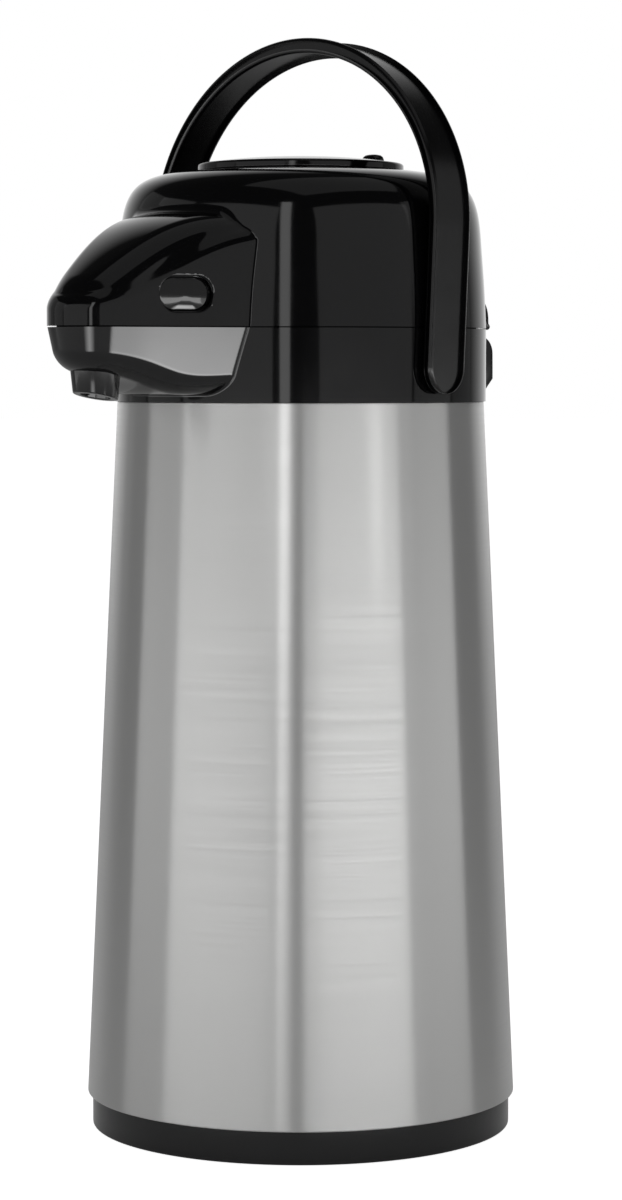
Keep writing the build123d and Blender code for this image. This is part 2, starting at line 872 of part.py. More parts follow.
def lid_fin():
    """The lip at the lid's rear that covers the hinge, thick at the parting line and fading upward
    into the round wall, with its ends rounded like the block's."""
    rear = (lid_fin_reach, lid_foot + lid_fin_foot)
    top = (lid_foot_radius - lid_fin_sink, lid_foot + lid_fin_rise)
    with BuildPart() as body:
        with BuildSketch(Plane.YZ):
            with BuildLine():
                Polyline(
                    (hinge_root, top[1]),
                    (hinge_root, lid_foot),
                    (lid_fin_reach, lid_foot),
                    rear,
                )
                Spline(rear, top, tangents=((0, 1), (-lid_fin_sink, lid_fin_foot)))
                Line(top, (hinge_root, top[1]))
            make_face()
        extrude(amount=hinge_block_half_width, both=True)
        corners = body.edges().filter_by(Axis.Z).filter_by(
            lambda edge: edge.center().Y > lid_foot_radius
        )
        fillet(corners, radius=hinge_end_radius)
    return body.part


def hinge_arm(side):
    """One of the two lid arms that reach down to the pin."""
    with BuildPart() as body:
        with BuildSketch(Plane.YZ.offset(side * hinge_arm_centre)):
            with Locations((hinge_reach, hinge_height)):
                Circle(hinge_arm_radius)
                Rectangle(
                    hinge_arm_depth,
                    lid_foot + hinge_arm_root - hinge_height,
                    align=(Align.CENTER, Align.MIN),
                )
                Circle(hinge_pin_radius + running_gap, mode=Mode.SUBTRACT)
        extrude(amount=hinge_arm_width / 2, both=True)
    return body.part


# Lid shell with its hood, hinge arms, button well, latch windows and lock slot
lock_slot_length = lock_travel + lock_stem_length + 2 * lock_clearance
with BuildPart() as lid_shell:
    add(lid_dome(0, lid_foot))
    add(hood(0, hood_crease_radius))
    add(lid_fin())
    add(lid_dome(lid_wall, lid_foot), mode=Mode.SUBTRACT)
    add(hood(beak_wall), mode=Mode.SUBTRACT)
    add(ring(0, well_radius, lid_waist_height, lid_top_height + cut_past), mode=Mode.SUBTRACT)
    add(hinge_arm(-1))
    add(hinge_arm(1))
    add(latch_holes(), mode=Mode.SUBTRACT)
    with BuildSketch(Plane.XY.offset(lid_top_height + cut_past)):
        with Locations((lock_rest + lock_travel / 2, lock_reach)):
            Rectangle(lock_slot_length, lock_stem_width + 2 * lock_clearance)
    extrude(amount=-3 * lid_wall, mode=Mode.SUBTRACT)
write(lid_shell.part, "lid_shell")

# Lid floor: carries the pump, with air holes in the middle
lid_floor_radius = lid_foot_radius - lid_wall - seat_gap
with BuildPart() as lid_floor:
    add(ring(0, lid_floor_radius, lid_floor_base, lid_floor_top))
    with BuildSketch(Plane.XY.offset(lid_floor_base)):
        with PolarLocations(air_hole_circle, air_hole_count):
            Circle(air_hole_radius)
        with PolarLocations(lid_screw_circle, lid_screw_count, start_angle=screw_start_angle):
            Circle(screw_hole_radius)
        Circle(air_hole_radius)
    extrude(amount=lid_floor_thickness, mode=Mode.SUBTRACT)
write(lid_floor.part, "lid_floor")

gasket_inner = throat_lip_radius - lid_gasket_overlap
gasket_foot = throat_rim_height + seat_gap
with BuildPart() as mouth_gasket:
    add(ring(gasket_inner, gasket_inner + lid_gasket_width, gasket_foot, lid_floor_base))
write(mouth_gasket.part, "mouth_gasket")

# Air flap under the floor, with a stem that snaps into the middle hole
with BuildPart() as air_flap:
    add(ring(0, flap_radius, lid_floor_base - flap_thickness, lid_floor_base))
    add(ring(0, air_hole_radius - running_gap, lid_floor_base, lid_floor_top))
write(air_flap.part, "air_flap")

# Pump cylinder: guides the button's skirt, with a window for the lock's tongue
tongue_top = skirt_foot - lock_clearance
tongue_foot = tongue_top - lock_tongue_thickness
cylinder_outer = cylinder_radius + cylinder_wall
cylinder_top = lid_top_height - lid_wall - cylinder_top_gap
with BuildPart() as pump_cylinder:
    add(ring(cylinder_radius, cylinder_outer, lid_floor_top, cylinder_top))
    add(ring(cylinder_radius, cylinder_flange_radius, lid_floor_top, lid_floor_top + cylinder_flange))
    with BuildSketch(Plane.XY.offset(tongue_foot - lock_clearance)):
        with Locations((lock_rest + lock_travel / 2, cylinder_radius)):
            Rectangle(
                lock_travel + lock_arm_width + 2 * lock_clearance,
                4 * cylinder_wall,
            )
    extrude(amount=lock_tongue_thickness + 2 * lock_clearance, mode=Mode.SUBTRACT)
    with BuildSketch(Plane.XY.offset(lid_floor_top)):
        with PolarLocations(lid_screw_circle, lid_screw_count, start_angle=screw_start_angle):
            Circle(screw_hole_radius)
    extrude(amount=cylinder_flange, mode=Mode.SUBTRACT)
write(pump_cylinder.part, "pump_cylinder")

lid_places = PolarLocations(lid_screw_circle, lid_screw_count, start_angle=screw_start_angle)
write(screws(lid_places, lid_floor_base, False), "lid_screws")

# Bellows between the lid floor and the button
fold_foot = lid_floor_top + bellows_flange
fold_height = (disc_base_height - bellows_flange - fold_foot) / bellows_folds
valley_radius = bellows_radius - bellows_depth
outline = [(valley_radius, fold_foot)]
for fold in range(bellows_folds):
    outline.append((bellows_radius, fold_foot + (fold + 0.5) * fold_height))
    outline.append((valley_radius, fold_foot + (fold + 1) * fold_height))
lining = [(radius - bellows_wall, height) for radius, height in outline]
with BuildPart() as bellows:
    add(turned(outline + lining[::-1]))
    add(ring(valley_radius - bellows_wall, bellows_radius, lid_floor_top, fold_foot))
    add(
        ring(
            valley_radius - bellows_wall,
            bellows_radius,
            disc_base_height - bellows_flange,
            disc_base_height,
        )
    )
write(bellows.part, "bellows")

# Return spring inside the bellows
coil_foot = lid_floor_top + spring_wire_radius
coil_height = disc_base_height - lid_floor_top - 2 * spring_wire_radius
with BuildPart() as return_spring:
    with BuildLine() as coil:
        Helix(coil_height / spring_turns, coil_height, spring_radius, center=(0, 0, coil_foot))
    with BuildSketch(Plane(coil.line @ 0, z_dir=coil.line % 0)):
        Circle(spring_wire_radius)
    sweep(path=coil.line, is_frenet=True)
write(return_spring.part, "return_spring")

# Press button: a low domed disc on a skirt, notched behind for the lock's tongue
notch_width = lock_arm_width + 2 * lock_clearance
skirt_inner = disc_skirt_radius - disc_skirt_wall
with BuildPart() as press_button:
    with BuildSketch(Plane.XZ):
        with BuildLine():
            Polyline(
                (0, disc_rim_height + disc_dome),
                (0, disc_base_height),
                (disc_radius, disc_base_height),
                (disc_radius, disc_rim_height),
            )
            ThreePointArc(
                (disc_radius, disc_rim_height),
                (disc_radius / 2, disc_rim_height + disc_dome * (1 - (1 / 2) ** 2)),
                (0, disc_rim_height + disc_dome),
            )
        make_face()
    revolve(axis=Axis.Z)
    rims = [
        edge
        for edge in press_button.edges().filter_by(GeomType.CIRCLE)
        if abs(edge.radius - disc_radius) < same_radius
    ]
    fillet(rims, radius=disc_edge_radius)
    add(ring(skirt_inner, disc_skirt_radius, skirt_foot, disc_base_height))
    with BuildSketch(Plane.XY.offset(skirt_foot)):
        with Locations((lock_rest, skirt_inner)):
            Rectangle(notch_width, 4 * disc_skirt_wall)
    extrude(amount=press_travel + lock_clearance, mode=Mode.SUBTRACT)
write(press_button.part, "press_button")

with BuildPart() as vent_seal:
    add(ring(0, vent_radius, disc_base_height - vent_depth, disc_base_height))
write(vent_seal.part, "vent_seal")

# Lock slider: a knob over the lid, with a stem through the slot
knob_foot = lid_top_height + seat_gap
plate_top = lid_top_height - lid_wall - lock_plate_gap
with BuildPart() as lock_slider:
    with BuildSketch(Plane.XY.offset(knob_foot)):
        with Locations((lock_rest, lock_reach)):
            SlotOverall(lock_knob_length, lock_knob_width)
    extrude(amount=lock_knob_height)
    fillet(lock_slider.faces().sort_by(Axis.Z)[-1].edges(), radius=lock_knob_width / 3)
    with BuildSketch(Plane.XY.offset(knob_foot)):
        with Locations((lock_rest, lock_reach)):
            Rectangle(lock_stem_length, lock_stem_width)
    extrude(amount=plate_top - knob_foot)
write(lock_slider.part, "lock_slider")

# Lock tongue: hangs from the stem inside the lid and reaches under the button's skirt
arm_front = cylinder_outer + lock_arm_gap
with BuildPart() as lock_tongue:
    with BuildSketch(Plane.XY.offset(plate_top)):
        with Locations((lock_rest, arm_front)):
            Rectangle(lock_plate_length, lock_plate_width, align=(Align.CENTER, Align.MIN))
    extrude(amount=-lock_plate_thickness)
    with BuildSketch(Plane.XY.offset(plate_top)):
        with Locations((lock_rest, arm_front)):
            Rectangle(lock_arm_width, lock_arm_thickness, align=(Align.CENTER, Align.MIN))
    extrude(amount=tongue_foot - plate_top)
    with BuildSketch(Plane.XY.offset(tongue_foot)):
        with Locations((lock_rest, lock_tongue_reach)):
            Rectangle(
                lock_arm_width,
                arm_front + lock_arm_thickness - lock_tongue_reach,
                align=(Align.CENTER, Align.MIN),
            )
    extrude(amount=lock_tongue_thickness)
write(lock_tongue.part, "lock_tongue")

# Latch buttons: an oval pad in each flank, kept in by a flange behind the wall
flange_inset = beak_wall + seat_gap
leg_inset = flange_inset + latch_flange
with BuildPart() as latch_button_right:
    with BuildSketch(latch_plane.offset(-latch_recess)):
        SlotOverall(latch_length, latch_width)
    extrude(amount=-(leg_inset - latch_recess))
    fillet(
        latch_button_right.faces().sort_by(Axis((0, 0, 0), flank_out))[-1].edges(),
        radius=latch_edge_radius,
    )
    with BuildSketch(latch_plane.offset(-flange_inset)):
        SlotOverall(latch_length + 2 * latch_rim, latch_width + 2 * latch_rim)
    extrude(amount=-latch_flange)
write(latch_button_right.part, "latch_button_right")

with BuildPart() as latch_button_left:
    mirror(latch_button_right.part, about=Plane.YZ)
write(latch_button_left.part, "latch_button_left")

# Latch hooks: a leg behind each button, down into the collar's tray, with a toe under its rib
with BuildPart() as latch_hook_right:
    with BuildSketch(latch_plane.offset(-leg_inset)):
        with Locations((0, hook_foot - latch_height)):
            Rectangle(
                latch_leg_width,
                latch_height - hook_foot + latch_leg_overlap,
                align=(Align.CENTER, Align.MIN),
            )
    extrude(amount=-latch_leg_thickness)
    with BuildSketch(latch_plane.offset(-leg_inset)):
        with Locations((0, hook_foot - latch_height)):
            Rectangle(latch_leg_width, latch_toe_height, align=(Align.CENTER, Align.MIN))
    extrude(amount=latch_toe)
write(latch_hook_right.part, "latch_hook_right")

with BuildPart() as latch_hook_left:
    mirror(latch_hook_right.part, about=Plane.YZ)
write(latch_hook_left.part, "latch_hook_left")

# Bail handle, drawn in its own plane, which leans back a little
lean = radians(bail_tilt)
bail_plane = Plane((0, 0, bail_pivot_height), x_dir=(1, 0, 0), z_dir=(0, -cos(lean), sin(lean)))
side_plane = Plane((0, 0, bail_pivot_height), x_dir=(0, cos(lean), -sin(lean)), z_dir=(1, 0, 0))
inner_span = bail_half_span - bail_side_thickness
inner_rise = bail_rise - bail_top_thickness
ear = bail_width / 2
with BuildPart() as bail_handle:
    with BuildSketch(bail_plane):
        with BuildLine():
            Line((bail_half_span, -ear), (bail_half_span, bail_straight))
            EllipticalCenterArc((0, bail_straight), bail_half_span, bail_rise, 0, arc_size=180)
            Line((-bail_half_span, bail_straight), (-bail_half_span, -ear))
            Line((-bail_half_span, -ear), (-inner_span, -ear))
            Line((-inner_span, -ear), (-inner_span, bail_straight))
            EllipticalCenterArc((0, bail_straight), inner_span, inner_rise, 0, arc_size=180)
            Line((inner_span, bail_straight), (inner_span, -ear))
            Line((inner_span, -ear), (bail_half_span, -ear))
        make_face()
    extrude(amount=ear, both=True)
    with BuildSketch(side_plane):
        Circle(ear)
        Rectangle(bail_width, 2 * bail_half_span, align=(Align.CENTER, Align.MIN))
    extrude(amount=bail_half_span, both=True, mode=Mode.INTERSECT)
    fillet(bail_handle.edges(), radius=bail_edge_radius)
write(bail_handle.part, "bail_handle")


def pivot_discs(radius, bore, start, length):
    """A pair of discs or pins on the bail's pivot line, one at each side, from a reach inward."""
    with BuildPart() as right:
        with BuildSketch(Plane.YZ.offset(start)):
            with Locations((0, bail_pivot_height)):
                Circle(radius)
                if bore:
                    Circle(bore, mode=Mode.SUBTRACT)
        extrude(amount=-length)
    return both_sides(right.part)


washer_inner = bail_pin_reach - bail_washer_thickness
write(
    pivot_discs(bail_pin_radius, bail_screw_radius, inner_span, inner_span - bail_pin_reach),
    "bail_pins",
)
write(
    pivot_discs(bail_washer_radius, bail_screw_radius, bail_pin_reach, bail_washer_thickness),
    "bail_washers",
)
with BuildPart() as bail_screws:
    add(pivot_discs(screw_head_radius, 0, washer_inner, screw_head_height))
    add(pivot_discs(bail_screw_radius, 0, inner_span, inner_span - washer_inner))
write(bail_screws.part, "bail_screws")
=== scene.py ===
import json
import math

import bmesh
import bpy
import numpy as np
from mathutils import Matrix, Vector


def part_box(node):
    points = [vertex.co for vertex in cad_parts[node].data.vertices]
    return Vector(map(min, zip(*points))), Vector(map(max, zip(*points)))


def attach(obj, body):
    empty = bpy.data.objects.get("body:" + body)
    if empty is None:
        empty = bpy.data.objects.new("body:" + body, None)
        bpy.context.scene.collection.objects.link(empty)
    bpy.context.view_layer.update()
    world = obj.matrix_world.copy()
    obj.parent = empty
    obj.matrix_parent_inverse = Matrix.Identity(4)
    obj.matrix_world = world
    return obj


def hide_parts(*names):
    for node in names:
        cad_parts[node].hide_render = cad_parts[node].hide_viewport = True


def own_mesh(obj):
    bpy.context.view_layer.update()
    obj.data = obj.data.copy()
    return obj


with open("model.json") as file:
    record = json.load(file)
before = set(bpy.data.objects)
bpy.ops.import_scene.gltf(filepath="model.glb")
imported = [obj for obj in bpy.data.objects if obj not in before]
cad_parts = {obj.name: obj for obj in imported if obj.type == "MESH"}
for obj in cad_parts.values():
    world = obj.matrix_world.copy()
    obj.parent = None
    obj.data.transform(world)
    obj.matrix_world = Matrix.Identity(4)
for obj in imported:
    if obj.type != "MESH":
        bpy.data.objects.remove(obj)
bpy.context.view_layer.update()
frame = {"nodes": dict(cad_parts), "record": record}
nodes = frame["nodes"]

MM = 0.001  # the sizes below are millimetres, the scene is metres


def node_box(node):
    """Lowest and highest corner of a CAD node, in millimetres."""
    low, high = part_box(node)
    return np.array(low) / MM, np.array(high) / MM


# Sizes that the frame gives
sleeve_low, sleeve_high = node_box("body_shell")
base_low, base_high = node_box("base_ring")
foot_high = node_box("foot_ring")[1]
pump_foot = node_box("bellows")[0][2]

# Body sizes
sleeve_base_radius = sleeve_high[0]
sleeve_top_radius = 66.6
sleeve_wall = 0.8
sleeve_hem = 5.8
sleeve_flange = 5.0
shoulder = sleeve_high[2]
base_top = sleeve_low[2]
base_bottom = base_low[2]
base_radius = base_high[0]
base_wall = 2.6
base_floor = 3.0
base_spigot = 8.0
spigot_inset = 6.1
spigot_radius = sleeve_base_radius - spigot_inset
rim_drop = 0.6  # how far the rim reaches below the groove's edge
foot_outer = foot_high[0]
foot_width = 6.0
foot_inner = foot_outer - foot_width
plug_bore = 57.0
plug_bore_wall = 3.6
plug_bore_height = 14.0

# Head sizes, from the collar's foot to the crown round the button
parting = 291.0
seam = 0.3
collar_radius = 67.4
collar_wall = 2.5
collar_floor = 271.0
collar_floor_thickness = 3.0
collar_foot_inset = 8.0
throat_radius = 33.8
lid_wall = 2.5
lid_foot = parting + seam
well_radius = 38.2

# Beak: a round nose about the nozzle's axis and two straight flanks
nozzle_reach = 100.6
nose_radius = 16.6
flank_angle = math.radians(19.9)
lower_draft = math.tan(math.radians(12))
lower_step = 0.2
belly_round = 7.0
tray = parting - 8.0
channel = parting - 13.4
channel_inset = 7.0
crease_round = 2.6
top_round = 7.0
least_round = 0.3  # a rounding of the inner wall is at least this large
upper_lean = 0.1  # share of their height by which the hood's upper sides lean in
ledge_fillet = 1.6
ledge_least = 0.6
ledge_growth = 3.0
ledge_start = 106.0  # reach at which the ledge starts to widen toward the root
ledge_run = 52.0
shoulder_slope = 0.7  # 35 degrees
shoulder_past_ledge = 1.5
roof_arch = 3.4
root_fillet = 0.8
root_fillet_growth = 1.8
root_fillet_start = 325.0  # height at which the fillet starts to widen
root_fillet_run = 8.0
beak_root = -30.0  # the beak counts only ahead of this Y
well_outside = 40.0  # the distance given to what doesn't count
inner_shift = 0.4  # share of the wall by which the lid's hollow follows a higher row

# Hinge sizes
hinge_reach = 70.5
hinge_height = 282.5
hinge_barrel = 6.5
hinge_half_width = 26.0
hinge_root = 50.0
block_slant = 7.0
outer_edge = 1.4
inner_edge = 0.4
arm_middle = 13.0
arm_half = 3.2
arm_radius = 5.4
arm_neck = 4.05
slot_half = 3.7
web_half = 4.2

# Button sizes
lid_top = 348.7
disc_radius = 37.4
disc_drop = 1.1  # the scene's disc starts this far below the lid's top in the CAD
skirt_outer = disc_radius - 1
skirt_inner = disc_radius - 3
skirt_depth = 2.6

# Bail sizes
bail_pivot = 277.0
bail_tilt = math.radians(3.2)
bail_half_span = 72.5
bail_straight = 49.0
bail_rise = 69.8
bail_side = 4.3
bail_top = 5.6
bail_half_width = 9.1
bail_edge = 1.4

sharp_angle = 32.0  # degrees past which an edge stays hard
tiny = 1e-12  # keeps a division finite


# Shapes


def spline(knots, values, at):
    """Natural cubic spline: the second derivatives m solve h0 m0 + 2 (h0 + h1) m1 + h1 m2 = 6
    times the change of slope, and each span is the cubic with those second derivatives at its
    ends."""
    knots, values = np.asarray(knots, float), np.asarray(values, float)
    h = np.diff(knots)
    slope = np.diff(values, axis=0) / h.reshape(-1, *[1] * (values.ndim - 1))
    system = np.diag(2 * (h[:-1] + h[1:])) + np.diag(h[1:-1], 1) + np.diag(h[1:-1], -1)
    m = np.zeros_like(values)
    m[1:-1] = np.linalg.solve(system, 6 * np.diff(slope, axis=0))
    span = np.clip(np.searchsorted(knots, at) - 1, 0, len(h) - 1)
    shape = np.shape(at) + (1,) * (values.ndim - 1)
    a = ((knots[span + 1] - at) / h[span]).reshape(shape)
    b = 1 - a
    width = h[span].reshape(shape)
    return (
        a * values[span]
        + b * values[span + 1]
        + ((a**3 - a) * m[span] + (b**3 - b) * m[span + 1]) * width**2 / 6
    )


def rounded(corners, steps=7):
    """Closed outline from corners (a, b, radius): each corner is an arc about the point on its
    bisector at radius / sin(half angle), swept by spherical interpolation between the tangents."""
    points = np.array([corner[:2] for corner in corners], float)
    radii = np.array([corner[2] for corner in corners], float)
    back = np.roll(points, 1, 0) - points
    ahead = np.roll(points, -1, 0) - points
    back /= np.linalg.norm(back, axis=1, keepdims=True)
    ahead /= np.linalg.norm(ahead, axis=1, keepdims=True)
    half = np.arccos(np.clip((back * ahead).sum(1), -1, 1)) / 2
    half = np.clip(half, 1e-3, math.pi / 2 - 1e-4)  # a straight corner has no bisector
    reach = (radii / np.tan(half))[:, None]
    bisector = back + ahead
    bisector /= np.linalg.norm(bisector, axis=1, keepdims=True) + tiny
    centre = points + bisector * (radii / np.sin(half))[:, None]
    start, end = points + back * reach - centre, points + ahead * reach - centre
    turn = (math.pi - 2 * half)[:, None, None]
    t = np.linspace(0, 1, steps)[None, :, None]
    arc = (np.sin((1 - t) * turn) * start[:, None] + np.sin(t * turn) * end[:, None]) / (
        np.sin(turn) + tiny
    )
    arc += centre[:, None]
    keep = np.repeat(radii > 0, steps)
    keep[::steps] = True
    return arc.reshape(-1, 2)[keep]


def grid_faces(rows, columns, wrap_rows=True):
    """Quads of a grid whose columns always close, and whose rows close where they form a ring."""
    r, c = np.meshgrid(
        np.arange(rows if wrap_rows else rows - 1), np.arange(columns), indexing="ij"
    )
    up, over = (r + 1) % rows, (c + 1) % columns
    corners = (r * columns + c, r * columns + over, up * columns + over, up * columns + c)
    return np.stack([corner.ravel() for corner in corners], 1)


def piece(name, vertices, faces, body, slot, material):
    """A closed mesh in millimetres becomes an object: doubles merged, faces turned outward, smooth
    shaded with its hard edges kept, riding on its body."""
    mesh = bpy.data.meshes.new(name)
    mesh.from_pydata((np.reshape(vertices, (-1, 3)) * MM).tolist(), [], faces.tolist())
    work = bmesh.new()
    work.from_mesh(mesh)
    bmesh.ops.remove_doubles(work, verts=work.verts, dist=2e-6)
    bmesh.ops.dissolve_degenerate(work, edges=work.edges, dist=1e-6)
    bmesh.ops.recalc_face_normals(work, faces=work.faces)
    work.to_mesh(mesh)
    work.free()
    mesh.shade_smooth()
    mesh.set_sharp_from_angle(angle=math.radians(sharp_angle))
    mesh.materials.append(material)
    new = bpy.data.objects.new(name, mesh)
    bpy.context.scene.collection.objects.link(new)
    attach(new, body)
    return new


def lathe(profile, segments=256):
    """Surface of revolution: every (radius, height) of a closed profile at every angle."""
    angle = np.linspace(0, 2 * math.pi, segments, endpoint=False)
    radius, height = np.asarray(profile, float).T
    vertices = np.stack(
        [
            np.outer(radius, np.sin(angle)),
            np.outer(radius, -np.cos(angle)),
            np.repeat(height[:, None], segments, 1),
        ],
        -1,
    )
    return vertices, grid_faces(len(radius), segments)


def prism(outline, low, high, rounding=(0.0, 0.0), trim=0.0):
    """A (y, z) outline carried along X from low to high and closed at both ends by a fan. At a
    rounded end X moves in by r (1 - cos t) while the outline is drawn in by r (1 - sin t). Points
    nearer to the pot's axis than the trim radius move back onto it."""
    outline = np.asarray(outline, float)
    count = len(outline)
    after = np.roll(outline, -1, 0)
    along = after - np.roll(outline, 1, 0)
    inward = np.stack([-along[:, 1], along[:, 0]], 1)
    inward /= np.linalg.norm(inward, axis=1, keepdims=True)
    inward *= np.sign(np.sum(outline[:, 0] * after[:, 1] - outline[:, 1] * after[:, 0]))
    t = np.linspace(0, math.pi / 2, 6)
    back = t[::-1]
    first, last = rounding
    between = np.linspace(low + first, high - last, 9)[1:-1]
    x = np.concatenate(
        [low + first * (1 - np.cos(t)), between, high - last * (1 - np.cos(back))]
    )
    inset = np.concatenate(
        [first * (1 - np.sin(t)), np.zeros_like(between), last * (1 - np.sin(back))]
    )
    rows = outline[None] + inward[None] * inset[:, None, None]
    hubs = rows[[0, -1]].mean(1, keepdims=True).repeat(count, 1)
    rows = np.concatenate([hubs[:1], rows, hubs[1:]])
    x = np.concatenate([x[:1], x, x[-1:]])[:, None]
    y, z = rows[..., 0], rows[..., 1]
    y = np.maximum(y, np.sqrt(np.maximum(trim**2 - x**2, 0)))
    vertices = np.stack([np.broadcast_to(x, y.shape), y, z], -1)
    return vertices, grid_faces(len(rows), count, wrap_rows=False)


def joined(*parts):
    """Several closed meshes as one list of vertices and faces."""
    vertices, faces, start = [], [], 0
    for points, quads in parts:
        points = np.reshape(points, (-1, 3))
        vertices.append(points)
        faces.append(quads + start)
        start += len(points)
    return np.concatenate(vertices), np.concatenate(faces)


def arc(centre, radius, start, end, steps=9):
    """Points on a circle between two angles in degrees."""
    angle = np.radians(np.linspace(start, end, steps))
    return np.stack([centre[0] + radius * np.cos(angle), centre[1] + radius * np.sin(angle)], 1)


def round_both(a, b, radius):
    """Inside both shapes, with their edge rounded: for distances a and b the result is the smaller
    of -radius and max(a, b), plus the length of their parts above -radius."""
    corner = np.hypot(np.maximum(a + radius, 0), np.maximum(b + radius, 0))
    return np.minimum(np.maximum(a, b), -radius) + corner


def round_either(a, b, radius):
    """Inside either shape, with a fillet between them: the mirror of round_both."""
    return -round_both(-a, -b, radius)


def ease(t):
    """A smooth step: 3 t squared less 2 t cubed, level at 0 and at 1."""
    return t**2 * (3 - 2 * t)


def beak_side(x, y):
    """Distance outside the beak's plan: ahead of the tangent points it is the distance to the
    nozzle's axis less the nose radius, behind them the distance to the straight flank."""
    side = np.abs(x)
    back = y + nozzle_reach
    nose = np.hypot(side, back) - nose_radius
    flank = side * math.cos(flank_angle) - back * math.sin(flank_angle) - nose_radius
    ahead = side * math.sin(flank_angle) + back * math.cos(flank_angle) < 0
    return np.where(ahead, nose, flank)


def flank_x(reach):
    """Half width between the flanks at a reach from the pot's axis."""
    return (nose_radius + (nozzle_reach - reach) * math.sin(flank_angle)) / math.cos(flank_angle)


# Ridge and crease of the hood at some reaches from the pot's axis. The reach is scaled to run
# from -1 to 1 before a polynomial is fitted.
roof_reach = (44.0, 60.0, 74.0, 88.0, 99.5, 107.8, 114.0, 119.0)
roof_ridge = (332.4, 332.0, 329.6, 323.6, 316.0, 309.4, 304.9, 301.0)
roof_crease = (325.4, 322.6, 317.8, 310.4, 304.8, 301.8, 300.4, 299.6)
roof_middle = 81.5
roof_half = 37.5
roof_degree = 5
roof_fit = np.polyfit(
    (np.array(roof_reach) - roof_middle) / roof_half,
    np.stack([roof_ridge, roof_crease], 1),
    roof_degree,
)


def hood_levels(x, y):
    """Heights of the hood's shoulder and of its top at a place. The shoulder rises inward from the
    crease at a fixed slope until a little past the ledge, and the top is a shallow arch that falls
    from the ridge by the square of the distance from the middle. Crease and ridge follow the
    fitted polynomials along the beak."""
    reach = np.clip(-y, roof_reach[0], roof_reach[-1])
    powers = ((reach - roof_middle) / roof_half)[..., None] ** np.arange(roof_degree, -1, -1)
    ridge, crease = np.moveaxis(powers @ roof_fit, -1, 0)
    depth = np.clip(-beak_side(x, y), 0, ledge_width(y) + shoulder_past_ledge)
    arch = roof_arch * (x / flank_x(reach)) ** 2
    return crease + shoulder_slope * depth, ridge - arch


def ledge_width(y):
    """How far the hood's upper sides stand in from its flanks: a smooth step from the nose, where
    it is least, to the root."""
    return ledge_least + ledge_growth * ease(np.clip((ledge_start + y) / ledge_run, 0, 1))


def in_hood(x, y, z, inset):
    """Distance outside the hood: a low body under the shoulder, joined to a narrower body that
    leans in above the shoulder and is rounded over at the top. Each height over a sloping face is
    divided by sqrt(1 + slope squared), with the slope from a small step in X and in Y."""
    step = 0.2
    shoulder_z, top_z = levels = hood_levels(x, y)
    lean_low, lean_top = (
        np.sqrt(1 + ((over - here) ** 2 + (ahead - here) ** 2) / step**2)
        for here, over, ahead in zip(levels, hood_levels(x + step, y), hood_levels(x, y + step))
    )
    side = beak_side(x, y) + inset
    low_round, high_round = (max(r - inset, least_round) for r in (crease_round, top_round))
    low = round_both(side, (z - shoulder_z) / lean_low + inset, low_round)
    upper_side = side + ledge_width(y) + upper_lean * np.maximum(z - shoulder_z, 0)
    high = round_both(upper_side, (z - top_z) / lean_top + inset, high_round)
    return round_either(low, high, np.minimum(ledge_width(y), ledge_fillet))


# The lid's outside, radius and height, from its foot to the button's well
lid_outline = np.array(
    [
        (67.35, 291.4),
        (66.75, 305.4),
        (65.7, 319.9),
        (64.85, 329.4),
        (62.9, 337.2),
        (59.9, 341.9),
        (55.2, 345.0),
        (49.2, 346.7),
        (43.5, 347.5),
        (39.2, 347.8),
    ]
)
lid_run = np.concatenate([[0], np.cumsum(np.hypot(*np.diff(lid_outline, axis=0).T))])


def lid_profile(at):
    """Radius and height of the lid's outside at a distance along its outline, by spline."""
    return spline(lid_run, lid_outline, at)


dense = lid_profile(np.linspace(0, lid_run[-1], 400))


def lid_radius(z):
    """The lid's outside radius at a height, in straight steps between close points."""
    return np.interp(z, dense[:, 1], dense[:, 0])


def in_lid(x, y, z, inset):
    """Distance outside the lid with its hood. The two join with a fillet that is small along the
    flanks and widens with height over the roof."""
    dome = np.hypot(x, y) - lid_radius(z + inner_shift * inset) + inset
    hood = np.where(y < beak_root, in_hood(x, y, z, inset), well_outside)
    height = np.clip((z - root_fillet_start) / root_fillet_run, 0, 1)
    return round_either(dome, hood, root_fillet + root_fillet_growth * ease(height))


belly_reach = (44.0, 62.0, 80.0, 90.5, 104.0, 120.0)
belly_line = (268.0, 268.0, 268.5, 272.0, 275.2, 276.0)
belly_slope = 0.98  # turns the height over the underside into about the distance from it
ring_fillet = 0.5


def underside(y):
    """Height of the beak's underside, a spline that falls from the chin to the belly."""
    return spline(belly_reach, belly_line, -y)


def in_collar(x, y, z):
    """Distance outside the collar with the beak's lower half, whose sides lean in toward a rounded
    underside."""
    ring = np.hypot(x, y) - collar_radius
    side = beak_side(x, y) + lower_step + lower_draft * (parting - z)
    below = (underside(np.clip(y, -belly_reach[-1], -belly_reach[0])) - z) * belly_slope
    lower = round_both(side, below, belly_round)
    return round_either(ring, np.where(y < beak_root, lower, well_outside), ring_fillet)


def in_cavity(x, y, z, wall):
    """Distance outside the hollow of the collar: the ring above its floor, the shallow tray in the
    beak and the deeper channel for the spout pipe."""
    ring = np.maximum(np.hypot(x, y) - collar_radius + wall, collar_floor - z)
    side = beak_side(x, y) + lower_draft * np.maximum(parting - z, 0)
    shallow = np.maximum(side + wall, tray - z)
    deep = np.maximum(side + channel_inset, channel - z)
    beak = np.where(y < beak_root, np.minimum(shallow, deep), well_outside)
    return np.minimum(ring, beak)


